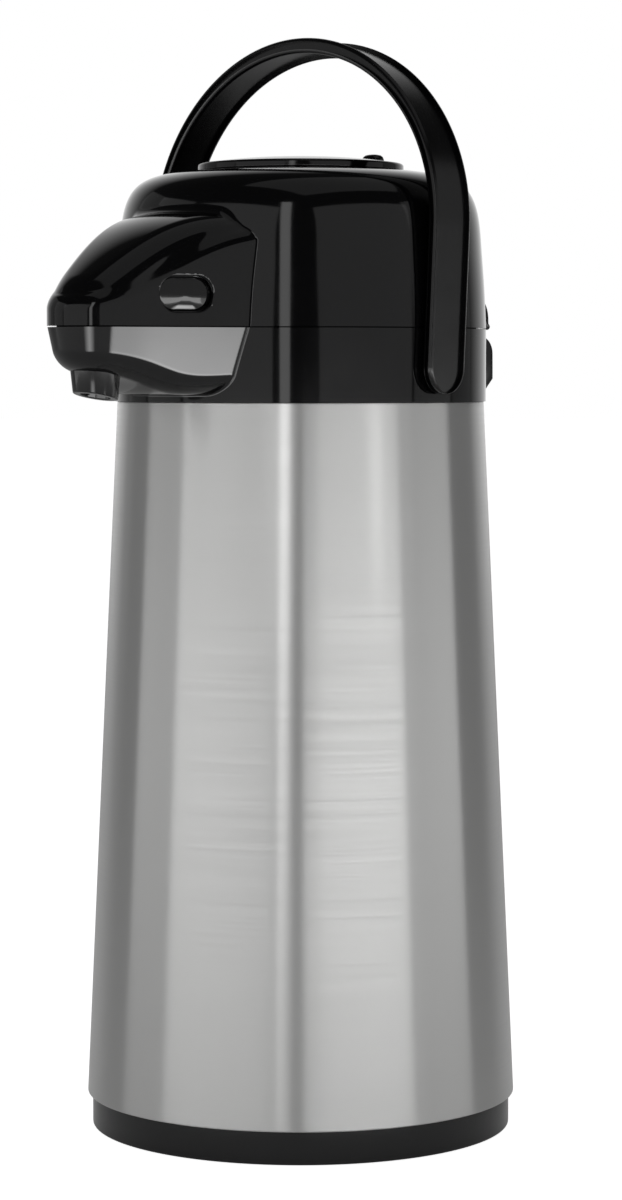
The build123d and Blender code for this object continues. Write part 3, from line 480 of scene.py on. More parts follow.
# Columns round the head: close together over the beak, wider round the rest
beak_half_angle = math.radians(43)
head_angles = np.concatenate(
    [
        np.linspace(-beak_half_angle, beak_half_angle, 260),
        np.linspace(beak_half_angle, 2 * math.pi - beak_half_angle, 150)[1:-1],
    ]
)
ray_start = 0.985  # share of a row's radius that lies inside the shape
ray_end = 124.0  # a reach past the nose
ray_halvings = 32


def cast(inside, radius, height, focus):
    """Where rays leave a shape: each ray starts on the pot's axis at the focus height, passes
    through a (radius, height) of a row in a column's direction, and the stretch of it that holds
    the surface is halved again and again."""
    slope = ((height - focus) / radius)[:, None]
    sine, cosine = np.sin(head_angles)[None, :], -np.cos(head_angles)[None, :]
    near = np.broadcast_to(radius[:, None] * ray_start, (len(radius), len(head_angles))).copy()
    far = np.full_like(near, ray_end)
    for _ in range(ray_halvings):
        reach = (near + far) / 2
        within = inside(reach * sine, reach * cosine, focus + slope * reach) < 0
        near, far = np.where(within, reach, near), np.where(within, far, reach)
    reach = (near + far) / 2
    return np.stack([reach * sine, reach * cosine, focus + slope * reach], -1)


def ring_row(radius, height):
    """One row of the head's grid at a radius and height all round."""
    return np.stack(
        [
            radius * np.sin(head_angles),
            -radius * np.cos(head_angles),
            np.full_like(head_angles, height),
        ],
        -1,
    )[None]


# Materials


def colour(code):
    """Linear RGBA of an sRGB hex code."""
    channels = np.array([int(code[i : i + 2], 16) for i in (1, 3, 5)]) / 255
    linear = np.where(channels <= 0.04045, channels / 12.92, ((channels + 0.055) / 1.055) ** 2.4)
    return (*linear.tolist(), 1.0)


def add_node(tree, kind, settings=(), links=()):
    """A shader node with its settings, and links given as (input, source socket)."""
    node = tree.nodes.new(kind)
    for key, value in dict(settings).items():
        if isinstance(key, int) or key in node.inputs:
            node.inputs[key].default_value = value
        else:
            setattr(node, key, value)
    for key, source in dict(links).items():
        tree.links.new(source, node.inputs[key])
    return node


def new_material(name, **surface):
    """A material with one Principled surface, and its tree, surface node and object coordinates."""
    material = bpy.data.materials.new(name)
    material.use_nodes = True
    tree = material.node_tree
    shader = tree.nodes["Principled BSDF"]
    for key, value in surface.items():
        shader.inputs[key.replace("_", " ")].default_value = value
    place = add_node(tree, "ShaderNodeTexCoord").outputs["Object"]
    return material, tree, shader, place


def vary_roughness(tree, shader, pattern, low, high):
    """The surface's roughness follows a pattern between two values."""
    spread = add_node(
        tree,
        "ShaderNodeMapRange",
        {"From Min": 0.3, "From Max": 0.7, "To Min": low, "To Max": high},
        {"Value": pattern},
    )
    tree.links.new(spread.outputs["Result"], shader.inputs["Roughness"])


def raise_pattern(tree, shader, pattern, strength, depth_mm):
    """A pattern becomes relief of a depth in millimetres."""
    bump = add_node(
        tree,
        "ShaderNodeBump",
        {"Strength": strength, "Distance": depth_mm * MM},
        {"Height": pattern},
    )
    tree.links.new(bump.outputs["Normal"], shader.inputs["Normal"])


def abs_gloss(name, code, roughness):
    """ABS from a polished tool: near mirror, with a slow waviness from shrinkage 14 mm across and
    a faint haze of handling 30 mm across."""
    material, tree, shader, place = new_material(name, Base_Color=colour(code), IOR=1.52)
    wave = add_node(
        tree, "ShaderNodeTexNoise", {"Scale": 1 / 0.014, "Detail": 1.0}, {"Vector": place}
    )
    haze = add_node(
        tree, "ShaderNodeTexNoise", {"Scale": 1 / 0.030, "Detail": 4.0}, {"Vector": place}
    )
    raise_pattern(tree, shader, wave.outputs["Fac"], 0.25, 0.02)
    vary_roughness(tree, shader, haze.outputs["Fac"], roughness * 0.8, roughness * 1.25)
    return material


def moulded_satin(name, code, roughness, grain_mm, depth_mm):
    """Plastic or rubber from a spark-eroded tool: an even fine grain that breaks up highlights,
    with clouds of a little more and less polish 20 mm across."""
    material, tree, shader, place = new_material(name, Base_Color=colour(code), IOR=1.5)
    grain = add_node(
        tree, "ShaderNodeTexVoronoi", {"Scale": 1 / (grain_mm * MM)}, {"Vector": place}
    )
    cloud = add_node(
        tree, "ShaderNodeTexNoise", {"Scale": 1 / 0.02, "Detail": 3.0}, {"Vector": place}
    )
    raise_pattern(tree, shader, grain.outputs["Distance"], 0.3, depth_mm)
    vary_roughness(tree, shader, cloud.outputs["Fac"], roughness * 0.88, roughness * 1.12)
    return material


def brushed_stainless(name):
    """Stainless sheet brushed round the body with a fine belt: the scratches run round the pot,
    so highlights stay narrow across it and are drawn out up and down. The real lines are about
    0.1 mm apart, and are drawn 0.5 mm apart and 70 mm long so that they show."""
    material, tree, shader, place = new_material(
        name, Base_Color=colour("#cfcfce"), Metallic=1.0, Anisotropic=1.0
    )
    stretched = add_node(
        tree, "ShaderNodeMapping", {"Scale": (14.0, 14.0, 2000.0)}, {"Vector": place}
    )
    lines = add_node(
        tree,
        "ShaderNodeTexNoise",
        {"Scale": 1.0, "Detail": 2.0},
        {"Vector": stretched.outputs["Vector"]},
    )
    up = add_node(tree, "ShaderNodeCombineXYZ", {"Z": 1.0})
    tree.links.new(up.outputs["Vector"], shader.inputs["Tangent"])
    vary_roughness(tree, shader, lines.outputs["Fac"], 0.28, 0.33)
    raise_pattern(tree, shader, lines.outputs["Fac"], 0.05, 0.01)
    return material


def bright_metal(name, code, roughness):
    """Drawn or turned steel, bright, with drawing marks 0.8 mm across."""
    material, tree, shader, place = new_material(name, Base_Color=colour(code), Metallic=1.0)
    marks = add_node(
        tree, "ShaderNodeTexNoise", {"Scale": 1 / 0.0008, "Detail": 2.0}, {"Vector": place}
    )
    vary_roughness(tree, shader, marks.outputs["Fac"], roughness * 0.8, roughness * 1.2)
    return material


def clear_plastic(name, code, transmission, roughness, ior):
    """Extruded clear tube: light passes, with a faint unevenness 2 mm across from the draw."""
    material, tree, shader, place = new_material(
        name, Base_Color=colour(code), Transmission_Weight=transmission, IOR=ior
    )
    lines = add_node(
        tree, "ShaderNodeTexNoise", {"Scale": 1 / 0.002, "Detail": 1.0}, {"Vector": place}
    )
    vary_roughness(tree, shader, lines.outputs["Fac"], roughness * 0.8, roughness * 1.3)
    return material


def silvered_glass(name):
    """Glass silvered on its hidden side: a mirror with slow thickness waves 40 mm across."""
    material, tree, shader, place = new_material(name, Base_Color=colour("#d4d7d9"), Metallic=1.0)
    wave = add_node(
        tree, "ShaderNodeTexNoise", {"Scale": 1 / 0.04, "Detail": 1.0}, {"Vector": place}
    )
    raise_pattern(tree, shader, wave.outputs["Fac"], 0.3, 0.2)
    vary_roughness(tree, shader, wave.outputs["Fac"], 0.04, 0.08)
    return material


steel = brushed_stainless("stainless_steel_brushed")
head_black = abs_gloss("abs_black_polished", "#050506", 0.075)
button_black = abs_gloss("abs_black_button", "#060607", 0.10)
base_black = abs_gloss("abs_black_base", "#060607", 0.13)
bail_black = moulded_satin("polypropylene_black", "#040405", 0.22, 0.6, 0.01)
inner_black = moulded_satin("nylon_black", "#0d0d0e", 0.5, 0.4, 0.01)
rubber_black = moulded_satin("rubber_black_moulded", "#131314", 0.75, 0.5, 0.02)
inner_white = moulded_satin("polypropylene_white", "#dcdbd6", 0.38, 0.5, 0.01)
silicone = moulded_satin("silicone_white", "#e3e2de", 0.5, 0.7, 0.01)
tube_clear = clear_plastic("polypropylene_clear_extruded", "#e6ebea", 0.55, 0.2, 1.49)
mirror_glass = silvered_glass("glass_silvered_blown")
bright_steel = bright_metal("steel_bright_drawn", "#c4c4c3", 0.2)

finishes = {
    "steel": steel,
    "black_gloss": head_black,
    "black_satin": inner_black,
    "white_plastic": inner_white,
    "clear_pipe": tube_clear,
    "glass": mirror_glass,
    "rubber": rubber_black,
    "silicone": silicone,
    "bright_steel": bright_steel,
}
for part in frame["record"]["subparts"]:
    cad_node = nodes[part["node"]]
    cad_node.data.materials.clear()
    cad_node.data.materials.append(finishes[part["material_slot"]])


# Body

# Steel sleeve with its hem turned in and a flange under the collar
sleeve = piece(
    "steel_sleeve",
    *lathe(
        rounded(
            (
                (sleeve_base_radius, base_top, 0.5),
                (sleeve_top_radius, shoulder, 0.35),
                (sleeve_top_radius - sleeve_flange, shoulder, 0),
                (sleeve_top_radius - sleeve_flange, shoulder - sleeve_wall, 0),
                (sleeve_top_radius - sleeve_wall, shoulder - sleeve_wall, 0),
                (sleeve_base_radius - sleeve_wall, base_top + sleeve_wall, 0),
                (sleeve_base_radius - sleeve_hem, base_top + sleeve_wall, 0),
                (sleeve_base_radius - sleeve_hem, base_top, 0),
            )
        )
    ),
    "pot",
    "steel",
    steel,
)
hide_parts("body_shell")

# Base moulding with its groove for the foot ring and its spigot inside the sleeve
base = piece(
    "base_moulding",
    *lathe(
        rounded(
            (
                (plug_bore, base_bottom, 0),
                (foot_inner, base_bottom, 0),
                (foot_inner, foot_high[2], 0),
                (foot_outer, foot_high[2], 0),
                (foot_outer, base_bottom - rim_drop, 0),
                (base_radius, base_bottom - rim_drop, 0.9),
                (base_radius, base_top, 0.3),
                (spigot_radius, base_top, 0),
                (spigot_radius, base_top + base_spigot, 0),
                (spigot_radius - base_wall, base_top + base_spigot, 0),
                (spigot_radius - base_wall, base_bottom + base_floor, 0),
                (plug_bore + plug_bore_wall, base_bottom + base_floor, 0),
                (plug_bore + plug_bore_wall, plug_bore_height, 0),
                (plug_bore, plug_bore_height, 0),
            )
        )
    ),
    "pot",
    "black_satin",
    base_black,
)
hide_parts("base_ring")

# Collar and the beak's lower half

collar_focus = parting + 1e-3  # a hair over the top row, so that no ray lies flat in it
collar_rows = np.linspace(shoulder, parting, 96)
outer = cast(in_collar, np.full_like(collar_rows, collar_radius), collar_rows, collar_focus)
cavity_rows = np.linspace(parting, collar_floor, 40)
cavity = cast(
    lambda x, y, z: in_cavity(x, y, z, collar_wall),
    np.full_like(cavity_rows, collar_radius - collar_wall),
    cavity_rows,
    collar_focus,
)
rows_behind_lip = 5  # rows of the hollow whose place the lip takes


def lip_row(wall, height):
    """One row of the lip that stands inside the lid's wall and closes the seam to light."""
    row = cast(
        lambda x, y, z: in_cavity(x, y, z, wall),
        np.array([collar_radius - wall]),
        np.array([parting]),
        parting,
    )
    row[..., 2] = height
    return row


lip = [
    lip_row(wall, height)
    for wall, height in (
        (collar_wall, parting),
        (collar_wall + 0.9, parting + 0.02),
        (collar_wall + 0.15, parting + 1.3),
        (collar_wall + 0.75, parting + 1.3),
        (collar_wall + 1.5, parting),
        (collar_wall + 1.2, parting - 1.4),
        (collar_wall, parting - 2.6),
    )
]
collar_grid = np.concatenate(
    [
        outer,
        *lip,
        cavity[rows_behind_lip:],
        ring_row(throat_radius, collar_floor),
        ring_row(throat_radius, collar_floor - collar_floor_thickness),
        ring_row(collar_radius - collar_foot_inset, collar_floor - collar_floor_thickness),
        ring_row(collar_radius - collar_foot_inset, shoulder),
    ]
)

# Hinge block: knuckles of the full outline, with the lid's arms in the slots between them
block_rear = hinge_reach + hinge_barrel
block_foot = shoulder + 1.0
block_slope = [
    (hinge_root, block_foot),
    (block_rear - block_slant, block_foot),
    (block_rear, block_foot + block_slant),
]
block_outline = np.concatenate(
    [
        block_slope,
        arc((hinge_reach, hinge_height), hinge_barrel, 0, 90),
        [(hinge_root, hinge_height + hinge_barrel)],
    ]
)
slot_foot = hinge_height - hinge_barrel + 0.6
web_outline = [*block_slope, (block_rear, slot_foot), (hinge_root, slot_foot)]
slot_in, slot_out = arm_middle - slot_half, arm_middle + slot_half
wall_inside = collar_radius - 1.0
knuckles = (
    (-hinge_half_width, -slot_out, (outer_edge, inner_edge)),
    (-slot_in, slot_in, (inner_edge, inner_edge)),
    (slot_out, hinge_half_width, (inner_edge, outer_edge)),
)
collar = piece(
    "shoulder_moulding",
    *joined(
        (collar_grid, grid_faces(len(collar_grid), len(head_angles))),
        *[prism(block_outline, low, high, ends, wall_inside) for low, high, ends in knuckles],
        *[
            prism(web_outline, middle - web_half, middle + web_half, trim=wall_inside)
            for middle in (-arm_middle, arm_middle)
        ],
    ),
    "pot",
    "black_gloss",
    head_black,
)
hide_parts("shoulder_collar")

# Lid with its hood

foot_end, brow_start = 12, 46  # distances along the lid's outline
near_foot = np.linspace(0, foot_end, 44, endpoint=False)
up_wall = np.linspace(foot_end, brow_start, 74, endpoint=False)
over_brow = np.linspace(brow_start, lid_run[-1], 34)
lid_rows = lid_profile(np.concatenate([near_foot, up_wall, over_brow]))
outer = cast(lambda x, y, z: in_lid(x, y, z, 0.0), lid_rows[:, 0], lid_rows[:, 1], lid_foot)
crown_start = 325.0  # rows above this height come down by the wall's thickness inside
inner_rows = lid_profile(np.linspace(0, lid_run[-1], 44))[::-1]
crown_drop = lid_wall * (inner_rows[:, 1] > crown_start)
inner_rows[:, 1] = np.maximum(inner_rows[:, 1] - crown_drop, lid_foot)
inner_rows[:, 0] = np.maximum(inner_rows[:, 0] - lid_wall, well_radius)
inner = cast(
    lambda x, y, z: in_lid(x, y, z, lid_wall), inner_rows[:, 0], inner_rows[:, 1], lid_foot
)
well_rows = ((0.25, 347.65), (0.0, 347.3), (0.0, 345.6))  # distance past the well's radius, height
well = [ring_row(well_radius + past, height) for past, height in well_rows]
lid_grid = np.concatenate([outer, *well, inner])

# Lip over the hinge, fading upward into the wall, and the two arms down to the pin
fin_reach = 74.6
fin_top = (66.1, lid_foot + 14)
fin_bends = [
    (fin_reach, lid_foot + 2),
    (74.1, lid_foot + 7),
    (71.4, lid_foot + 11.2),
    fin_top,
]
fin_curve = spline((0, 1, 2, 3), fin_bends, np.linspace(0, 3, 16))
fin_outline = np.concatenate(
    [[(hinge_root, lid_foot), (fin_reach, lid_foot)], fin_curve, [(hinge_root, fin_top[1])]]
)
arm_outline = np.concatenate(
    [
        arc((hinge_reach, hinge_height), arm_radius, -200, 20, 23),
        [(hinge_reach + arm_neck, lid_foot + 2), (hinge_reach - arm_neck, lid_foot + 2)],
    ]
)
lid = piece(
    "lid_moulding",
    *joined(
        (lid_grid, grid_faces(len(lid_grid), len(head_angles))),
        prism(
            fin_outline,
            -hinge_half_width,
            hinge_half_width,
            (outer_edge, outer_edge),
            wall_inside - 0.3,
        ),
        *[
            prism(arm_outline, middle - arm_half, middle + arm_half, (inner_edge, inner_edge))
            for middle in (-arm_middle, arm_middle)
        ],
    ),
    "lid",
    "black_gloss",
    head_black,
)
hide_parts("lid_shell")

# Oval windows in the flanks, with a rounded rim
window_reach, window_height = 80.7, 302.4
window_radius, latch_radius, oval_straight = 6.15, 5.9, 3.8
window_columns = 96
window_turn = np.linspace(0, 2 * math.pi, window_columns, endpoint=False)
out_way = np.array([math.cos(flank_angle), -math.sin(flank_angle), 0.0])
back_way = np.array([math.sin(flank_angle), math.cos(flank_angle), 0.0])
up_way = np.array([0.0, 0.0, 1.0])
window_centre = np.array([flank_x(window_reach), -window_reach, window_height])


def oval_rows(rows, radius):
    """Rows of an oval seen square to the right flank, two half circles joined by a straight. Each
    row is (depth, size, growth), where size scales the whole oval, growth moves its outline
    outward in mm and depth is along the flank's normal."""
    depth, size, growth = np.array(rows)[:, :, None].transpose(1, 0, 2)
    cosine, sine = np.cos(window_turn)[None], np.sin(window_turn)[None]
    along = size * (np.sign(cosine) * oval_straight + radius * cosine) + growth * cosine
    above = size * radius * sine + growth * sine
    parts = zip((depth, along, above), (out_way, back_way, up_way))
    return window_centre + sum(amount[..., None] * way for amount, way in parts)


window_rim = [(-0.6, 0.0), (-0.35, 0.06), (-0.15, 0.18), (-0.04, 0.34), (0.0, 0.5), (0.05, 0.8)]
window_rows = [(-6.0, 0.0, 0.0), (-6.0, 1.0, 0.0)]
window_rows += [(depth, 1.0, growth) for depth, growth in window_rim]
window_rows += [(3.0, 1.0, 0.8), (3.0, 0.0, 0.0)]
window_shape = oval_rows(window_rows, window_radius)
window_faces = grid_faces(len(window_rows), window_columns, wrap_rows=False)
cutter = piece(
    "window_cutter",
    *joined((window_shape, window_faces), (window_shape * (-1, 1, 1), window_faces)),
    "lid",
    "black_gloss",
    head_black,
)
cut = lid.modifiers.new("windows", "BOOLEAN")
cut.operation = "DIFFERENCE"
cut.solver = "EXACT"
cut.object = cutter
cut_mesh = bpy.data.meshes.new_from_object(lid.evaluated_get(bpy.context.evaluated_depsgraph_get()))
lid.modifiers.clear()
lid.data = cut_mesh
bpy.data.objects.remove(cutter)
cut_mesh.set_sharp_from_angle(angle=math.radians(sharp_angle))

# Latch buttons: ovals with a face domed by 0.9 times the square of the way out from its middle,
# recessed in their windows, on a flange behind the wall
button_rows = [(-1.4 - 0.9 * t**2, 0.97 * t, 0.0) for t in np.linspace(0, 1, 16)]
button_rows += [(-2.42, 0.99, 0.0), (-2.6, 1.0, 0.0), (-2.9, 1.0, 0.0)]
button_rows += [(-2.9, 1.0, 1.0), (-3.9, 1.0, 1.0), (-3.9, 0.0, 0.0)]
button_shape = oval_rows(button_rows, latch_radius)
for side, mirror in (("right", (1, 1, 1)), ("left", (-1, 1, 1))):
    latch = piece(
        "latch_cap_" + side,
        button_shape * mirror,
        grid_faces(len(button_rows), window_columns, wrap_rows=False),
        "latch_" + side,
        "black_gloss",
        head_black,
    )
    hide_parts("latch_button_" + side)

# Pump button

disc_low = lid_top - disc_drop
cap = piece(
    "button_cap",
    *lathe(
        np.concatenate(
            [
                [(0.0, disc_low), (skirt_inner, disc_low), (skirt_inner, disc_low - skirt_depth)],
                [(skirt_outer, disc_low - skirt_depth), (skirt_outer, disc_low)],
                arc((disc_radius - 0.9, disc_low + 0.9), 0.9, -90, 0),
                arc((disc_radius - 1.1, disc_low + 2.1), 1.1, 0, 83),
                spline(
                    (0, 1, 2, 3),
                    [
                        (disc_radius - 2.0, disc_low + 3.29),
                        (disc_radius * 0.66, disc_low + 4.6),
                        (disc_radius * 0.33, disc_low + 5.4),
                        (0.0, disc_low + 5.7),
                    ],
                    np.linspace(0, 3, 30),
                ),
            ]
        )
    ),
    "button",
    "black_gloss",
    button_black,
)
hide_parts("press_button")

# Bellows and return spring under the button, kept at rest height; the real ones flatten as it goes
# down
pump_top = disc_low - 0.1
fold_count, fold_radius, fold_depth, fold_wall, fold_flange = 6, 31.5, 6.0, 1.2, 2.0
fold_levels = np.linspace(pump_foot + fold_flange, pump_top - fold_flange, 2 * fold_count + 1)
fold_radii = np.where(np.arange(2 * fold_count + 1) % 2, fold_radius, fold_radius - fold_depth)
zigzag = [(radius, level, 0.5) for radius, level in zip(fold_radii, fold_levels)]
bore = fold_radius - fold_depth - fold_wall
folds = piece(
    "bellows_folds",
    *lathe(
        rounded(
            [(bore, pump_foot, 0), (fold_radius, pump_foot, 0.5)]
            + [(fold_radius, fold_levels[0], 0.5)]
            + zigzag
            + [(fold_radius, fold_levels[-1], 0.5)]
            + [(fold_radius, pump_top, 0.5), (bore, pump_top, 0)]
            + [(radius - fold_wall, level, 0.4) for radius, level, _ in zigzag[::-1]]
        ),
        128,
    ),
    "lid",
    "silicone",
    silicone,
)
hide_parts("bellows")


def coil(radius, wire, turns, low, high):
    """Tube along a helix: the middle line is (radius cos p, radius sin p, low + rise p), and each
    row is a circle of the wire's radius across it, on the line's normal and binormal."""
    columns = 16
    p = np.linspace(0, 2 * math.pi * turns, 48 * turns + 1)[:, None, None]
    q = np.linspace(0, 2 * math.pi, columns, endpoint=False)[None, :, None]
    rise = (high - low - 2 * wire) / (2 * math.pi * turns)
    nothing = np.zeros_like(p)
    middle = np.concatenate([radius * np.cos(p), radius * np.sin(p), low + wire + rise * p], -1)
    normal = np.concatenate([np.cos(p), np.sin(p), nothing], -1)
    along = np.concatenate([-radius * np.sin(p), radius * np.cos(p), nothing + rise], -1)
    along /= np.linalg.norm(along, axis=-1, keepdims=True)
    binormal = np.cross(along, normal)
    rows = middle + wire * (np.cos(q) * normal + np.sin(q) * binormal)
    first, last = middle[:1].repeat(columns, 1), middle[-1:].repeat(columns, 1)
    rows = np.concatenate([first, rows, last])
    return rows, grid_faces(len(rows), columns, wrap_rows=False)


spring_radius, spring_wire, spring_turns = 15.0, 1.0, 5
spring = piece(
    "spring_coil",
    *coil(spring_radius, spring_wire, spring_turns, pump_foot, pump_top),
    "lid",
    "bright_steel",
    bright_steel,
)
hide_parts("return_spring")
for soft in (folds, spring):
    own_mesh(soft)

# Lock knob: a pill rounded over at the top, on its stem. Its plan is the oval on which
# |x / a| to the power 2.6 and |y / b| to the power 2.6 add up to 1. Each row is (size, height).
knob_columns = 64
knob_power = 2.6
knob_half_size = (4.4, 3.2)
knob_place = (-5.4, 44.0)
knob_turn = np.linspace(0, 2 * math.pi, knob_columns, endpoint=False)
stem_rows = [(0.3, 339.0), (0.3, 349.0)]
side_rows = [(0.97, 349.0), (1.0, 349.3), (1.0, 353.6), (0.97, 354.6)]
top_rows = [(0.88, 355.5), (0.7, 356.1), (0.4, 356.4), (0.0, 356.45)]
knob_rows = np.array(stem_rows + side_rows + top_rows)
knob_shape = np.stack([np.cos(knob_turn), np.sin(knob_turn)], 1)
knob_shape = np.sign(knob_shape) * np.abs(knob_shape) ** (2 / knob_power) * knob_half_size
knob_points = np.concatenate(
    [
        knob_rows[:, None, :1] * knob_shape[None] + knob_place,
        np.repeat(knob_rows[:, None, 1:], len(knob_turn), 1),
    ],
    -1,
)
knob_foot = knob_points[:1].mean(1, keepdims=True).repeat(knob_columns, 1)
knob_points = np.concatenate([knob_foot, knob_points])
knob = piece(
    "lock_knob",
    knob_points,
    grid_faces(len(knob_points), knob_columns, wrap_rows=False),
    "lock",
    "black_gloss",
    button_black,
)
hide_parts("lock_slider")

# Nozzle

# A flanged tube, wider at its root, whose mouth is cut at a slant by a shear that grows from
# nothing at the root to its whole amount at the mouth
nozzle_low = 267.2
nozzle_cut = math.tan(math.radians(12))
nozzle_flange, nozzle_lead, nozzle_bore = 9.4, 8.0, 5.2
nozzle_root, nozzle_mouth = 8.8, 7.8
nozzle_step = 1.6
nozzle_profile = rounded(
    (
        (nozzle_flange, channel, 0),
        (nozzle_flange, channel + nozzle_step, 0),
        (nozzle_lead, channel + nozzle_step, 0),
        (nozzle_bore, channel - nozzle_step, 0),
        (nozzle_bore, nozzle_low, 0.35),
        (nozzle_mouth, nozzle_low, 0.5),
        (nozzle_root, channel, 0),
    )
)
nozzle_points, nozzle_faces = lathe(nozzle_profile, 96)
shear_top = channel - 3
nozzle_down = np.clip((shear_top - nozzle_points[..., 2]) / (shear_top - nozzle_low), 0, 1)
nozzle_points[..., 2] -= nozzle_cut * nozzle_points[..., 1] * nozzle_down
nozzle_points[..., 1] -= nozzle_reach
nozzle = piece("nozzle", nozzle_points, nozzle_faces, "pot", "black_satin", head_black)
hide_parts("spout_nozzle")

# Bail

# The band's section, a rounded rectangle, is carried along the line midway between its outer and
# inner lines. Below the pivot its width follows the ear's circle.
ear = -bail_half_width * np.cos(np.linspace(0, math.pi / 2, 28, endpoint=False))
legs = np.concatenate([ear, np.linspace(0, bail_straight, 20)])
turn = np.linspace(0, math.pi, 181)


def band_line(span, rise):
    """One line of the band: up a leg, over the half ellipse (span cos t, rise sin t) and down."""
    side = np.full(len(legs) - 1, span)
    return np.concatenate(
        [
            np.stack([side, legs[:-1]], 1),
            np.stack([span * np.cos(turn), bail_straight + rise * np.sin(turn)], 1),
            np.stack([-side, legs[-2::-1]], 1),
        ]
    )


outer_line = band_line(bail_half_span, bail_rise)
inner_line = band_line(bail_half_span - bail_side, bail_rise - bail_top)
below = np.minimum(outer_line[:, 1], 0)
half = np.sqrt(np.maximum(bail_half_width**2 - below**2, 1e-4))
middle, across = (outer_line + inner_line) / 2, (outer_line - inner_line) / 2
reach = np.linalg.norm(across, axis=1, keepdims=True)
outward = across / reach
edge = np.minimum(bail_edge, half * 0.9)
corner = np.linspace(0, math.pi / 2, 5)
ring = []
for side_out, side_wide, order in ((1, 1, 1), (1, -1, -1), (-1, -1, 1), (-1, 1, -1)):
    swing = corner[::order]
    out = side_out * (reach - edge[:, None] + edge[:, None] * np.cos(swing)[None])
    wide = side_wide * (half[:, None] - edge[:, None] + edge[:, None] * np.sin(swing)[None])
    ring.append(np.stack([out, wide], -1))
ring = np.concatenate(ring, 1)
flat = middle[:, None] + outward[:, None] * ring[..., :1]
lean = np.array([math.cos(bail_tilt), math.sin(bail_tilt)])
bail_points = np.stack(
    [
        flat[..., 0],
        ring[..., 1] * lean[0] + flat[..., 1] * lean[1],
        bail_pivot + flat[..., 1] * lean[0] - ring[..., 1] * lean[1],
    ],
    -1,
)
hub = bail_points[[0, -1]].mean(1, keepdims=True).repeat(bail_points.shape[1], 1)
bail_points = np.concatenate([hub[:1], bail_points, hub[1:]])
bail = piece(
    "bail_band",
    bail_points,
    grid_faces(len(bail_points), bail_points.shape[1], wrap_rows=False),
    "bail",
    "black_satin",
    bail_black,
)
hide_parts("bail_handle")

# Camera, light and floor

view_azimuth = math.radians(44.5)  # from the spout's side toward +X
camera_distance = 1.276
camera_height = 0.2765
camera_pitch = math.radians(3.77)
camera_yaw = math.radians(0.17)
focal_pixels = 3497
photo_height = 1200
head_middle = (0.0, 0.0, 280.0)  # mm
camera_data = bpy.data.cameras.new("camera")
camera_data.sensor_fit = "VERTICAL"
camera_data.sensor_height = 36.0
camera_data.lens = 36.0 * focal_pixels / photo_height
camera_data.clip_start = 0.05
camera_data.clip_end = 40.0
camera = bpy.data.objects.new("camera", camera_data)
camera.location = (
    camera_distance * math.sin(view_azimuth),
    -camera_distance * math.cos(view_azimuth),
    camera_height,
)
camera.rotation_euler = (math.pi / 2 - camera_pitch, 0, view_azimuth - camera_yaw)
bpy.context.scene.collection.objects.link(camera)
bpy.context.scene.camera = camera


def panel(
    name, azimuth, elevation, width, height, radiance, distance=1.5, aim=head_middle, grid=None
):
    """A soft box facing the head or a point given in mm. Azimuth is degrees to the camera's right
    as the pot sees it, elevation degrees above the point; width and height are degrees too. Its
    power is radiance times pi times its area. A grid of slats may narrow its beam to an angle in
    degrees, which keeps the power and so raises the middle by tan h / (tan h - h), h half that."""
    data = bpy.data.lights.new(name, "AREA")
    data.shape = "RECTANGLE"
    data.size = 2 * distance * math.tan(math.radians(width / 2))
    data.size_y = 2 * distance * math.tan(math.radians(height / 2))
    data.energy = radiance * math.pi * data.size * data.size_y
    if grid:
        half = math.radians(grid / 2)
        data.spread = 2 * half
        data.energy *= (math.tan(half) - half) / math.tan(half)
    lamp = bpy.data.objects.new(name, data)
    turn = view_azimuth + math.radians(azimuth)
    lift = math.radians(elevation)
    lamp.location = (
        aim[0] * MM + distance * math.cos(lift) * math.sin(turn),
        aim[1] * MM - distance * math.cos(lift) * math.cos(turn),
        aim[2] * MM + distance * math.sin(lift),
    )
    lamp.rotation_euler = (math.pi / 2 - lift, 0, turn)
    lamp.visible_camera = False
    bpy.context.scene.collection.objects.link(lamp)


panel("soft_right", 41, 13, 61, 34, 0.36)
panel("far_right", 88, 13, 32, 34, 0.30)
panel("rear_right", 116, 13, 22, 34, 0.14)
panel("soft_left", -46, 13, 60, 34, 0.46)
panel("far_left", -92, 13, 30, 34, 0.34)
panel("rear_left", -119, 13, 22, 34, 0.18)
panel("strip_left", -9.3, 13, 6.2, 40, 1.75, distance=1.45)
panel("low_strip", -12.6, -10, 6.0, 14, 2.4, distance=1.4)
panel("low_right", 31, -10, 59, 14, 4.4, distance=1.4)
panel("low_far_right", 81, -10, 41, 14, 1.5, distance=1.4)
panel("low_left", -46, -10, 60, 14, 3.0, distance=1.4)
panel("low_far_left", -91, -10, 30, 14, 1.0, distance=1.4)
panel("low_front", -3.5, -10, 8, 14, 0.7, distance=1.4)
panel("under_flank", 49.7, -24, 20, 11, 8.0, distance=0.47, aim=(28, -98, 284), grid=15)
panel("under_root", 52.3, -24, 14, 11, 5.0, distance=0.47, aim=(52, -48, 284), grid=9)
panel("under_nose", -12, -24, 44, 11, 5.0, distance=0.5, aim=(0, -112, 284), grid=26)
panel("overhead", 42, 74, 58, 46, 0.22)

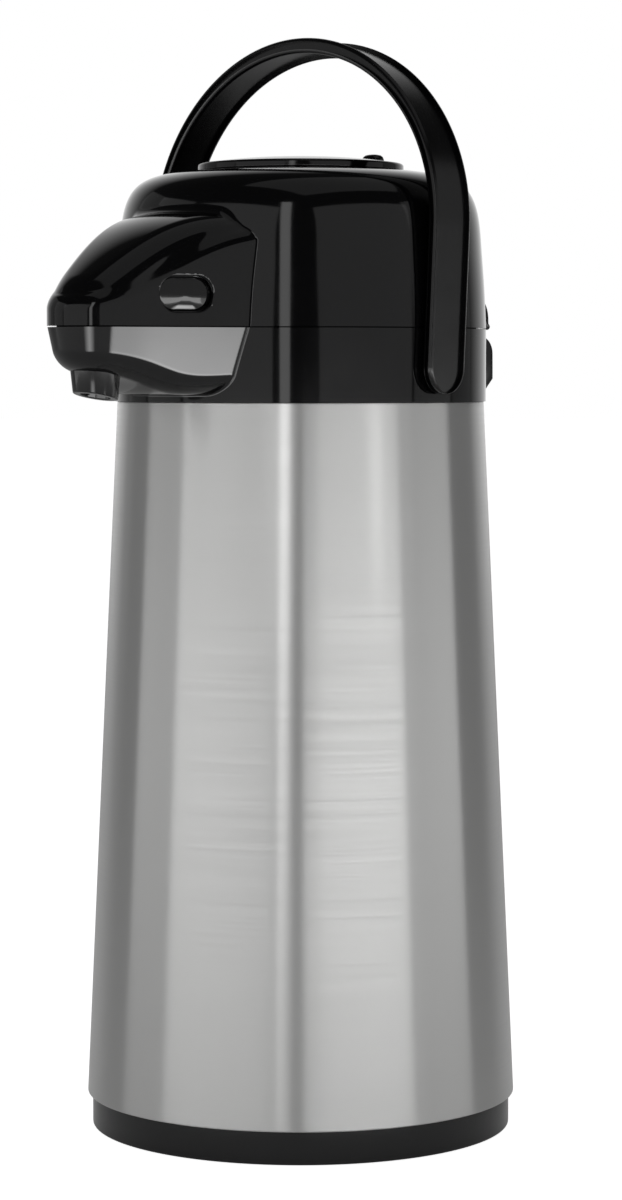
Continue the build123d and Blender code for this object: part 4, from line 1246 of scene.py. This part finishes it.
# White surround: full white behind the pot, dark in front of it for reflections
dark_front = 0.03
world = bpy.data.worlds.new("studio")
world.use_nodes = True
bpy.context.scene.world = world
sky = world.node_tree
background = sky.nodes["Background"]
direction = add_node(sky, "ShaderNodeTexCoord").outputs["Generated"]
toward_camera = add_node(
    sky,
    "ShaderNodeVectorMath",
    {"operation": "DOT_PRODUCT"},
    {0: direction},
)
toward_camera.inputs[1].default_value = (math.sin(view_azimuth), -math.cos(view_azimuth), 0.0)
fade = add_node(
    sky,
    "ShaderNodeMapRange",
    {"From Min": -1.0, "From Max": -0.6, "To Min": 1.0, "To Max": dark_front},
    {"Value": toward_camera.outputs["Value"]},
)
rays = add_node(sky, "ShaderNodeLightPath")
seen = add_node(
    sky,
    "ShaderNodeMix",
    {"data_type": "FLOAT"},
    {0: rays.outputs["Is Camera Ray"], 2: fade.outputs["Result"]},
)
seen.inputs[3].default_value = 1.0
clear = add_node(
    sky,
    "ShaderNodeMath",
    {"operation": "MAXIMUM"},
    {0: seen.outputs[0], 1: rays.outputs["Is Transmission Ray"]},
)
sky.links.new(clear.outputs[0], background.inputs["Strength"])
background.inputs["Color"].default_value = (1, 1, 1, 1)

floor_size = 14.0
floor_glow = 0.93
floor_mirrored = 0.13
floor_mesh = bpy.data.meshes.new("floor")
floor_mesh.from_pydata(
    [(sx * floor_size, sy * floor_size, 0) for sx, sy in ((-1, -1), (1, -1), (1, 1), (-1, 1))],
    [],
    [(0, 1, 2, 3)],
)
floor = bpy.data.objects.new("floor", floor_mesh)
bpy.context.scene.collection.objects.link(floor)
paper, tree, shader, place = new_material(
    "paper_white_seamless", Base_Color=colour("#f2f2f2"), Roughness=0.8
)
rays = add_node(tree, "ShaderNodeLightPath")
seen_through = add_node(
    tree,
    "ShaderNodeMath",
    {"operation": "MAXIMUM"},
    {0: rays.outputs["Is Camera Ray"], 1: rays.outputs["Is Transmission Ray"]},
)
mirrored = add_node(
    tree,
    "ShaderNodeMath",
    {"operation": "MULTIPLY", 1: floor_mirrored},
    {0: rays.outputs["Is Glossy Ray"]},
)
glow = add_node(
    tree,
    "ShaderNodeMath",
    {"operation": "MULTIPLY_ADD", 1: floor_glow},
    {0: seen_through.outputs[0], 2: mirrored.outputs[0]},
)
tree.links.new(glow.outputs[0], shader.inputs["Emission Strength"])
shader.inputs["Emission Color"].default_value = (1, 1, 1, 1)
floor_mesh.materials.append(paper)

bpy.context.scene.view_settings.view_transform = "Standard"
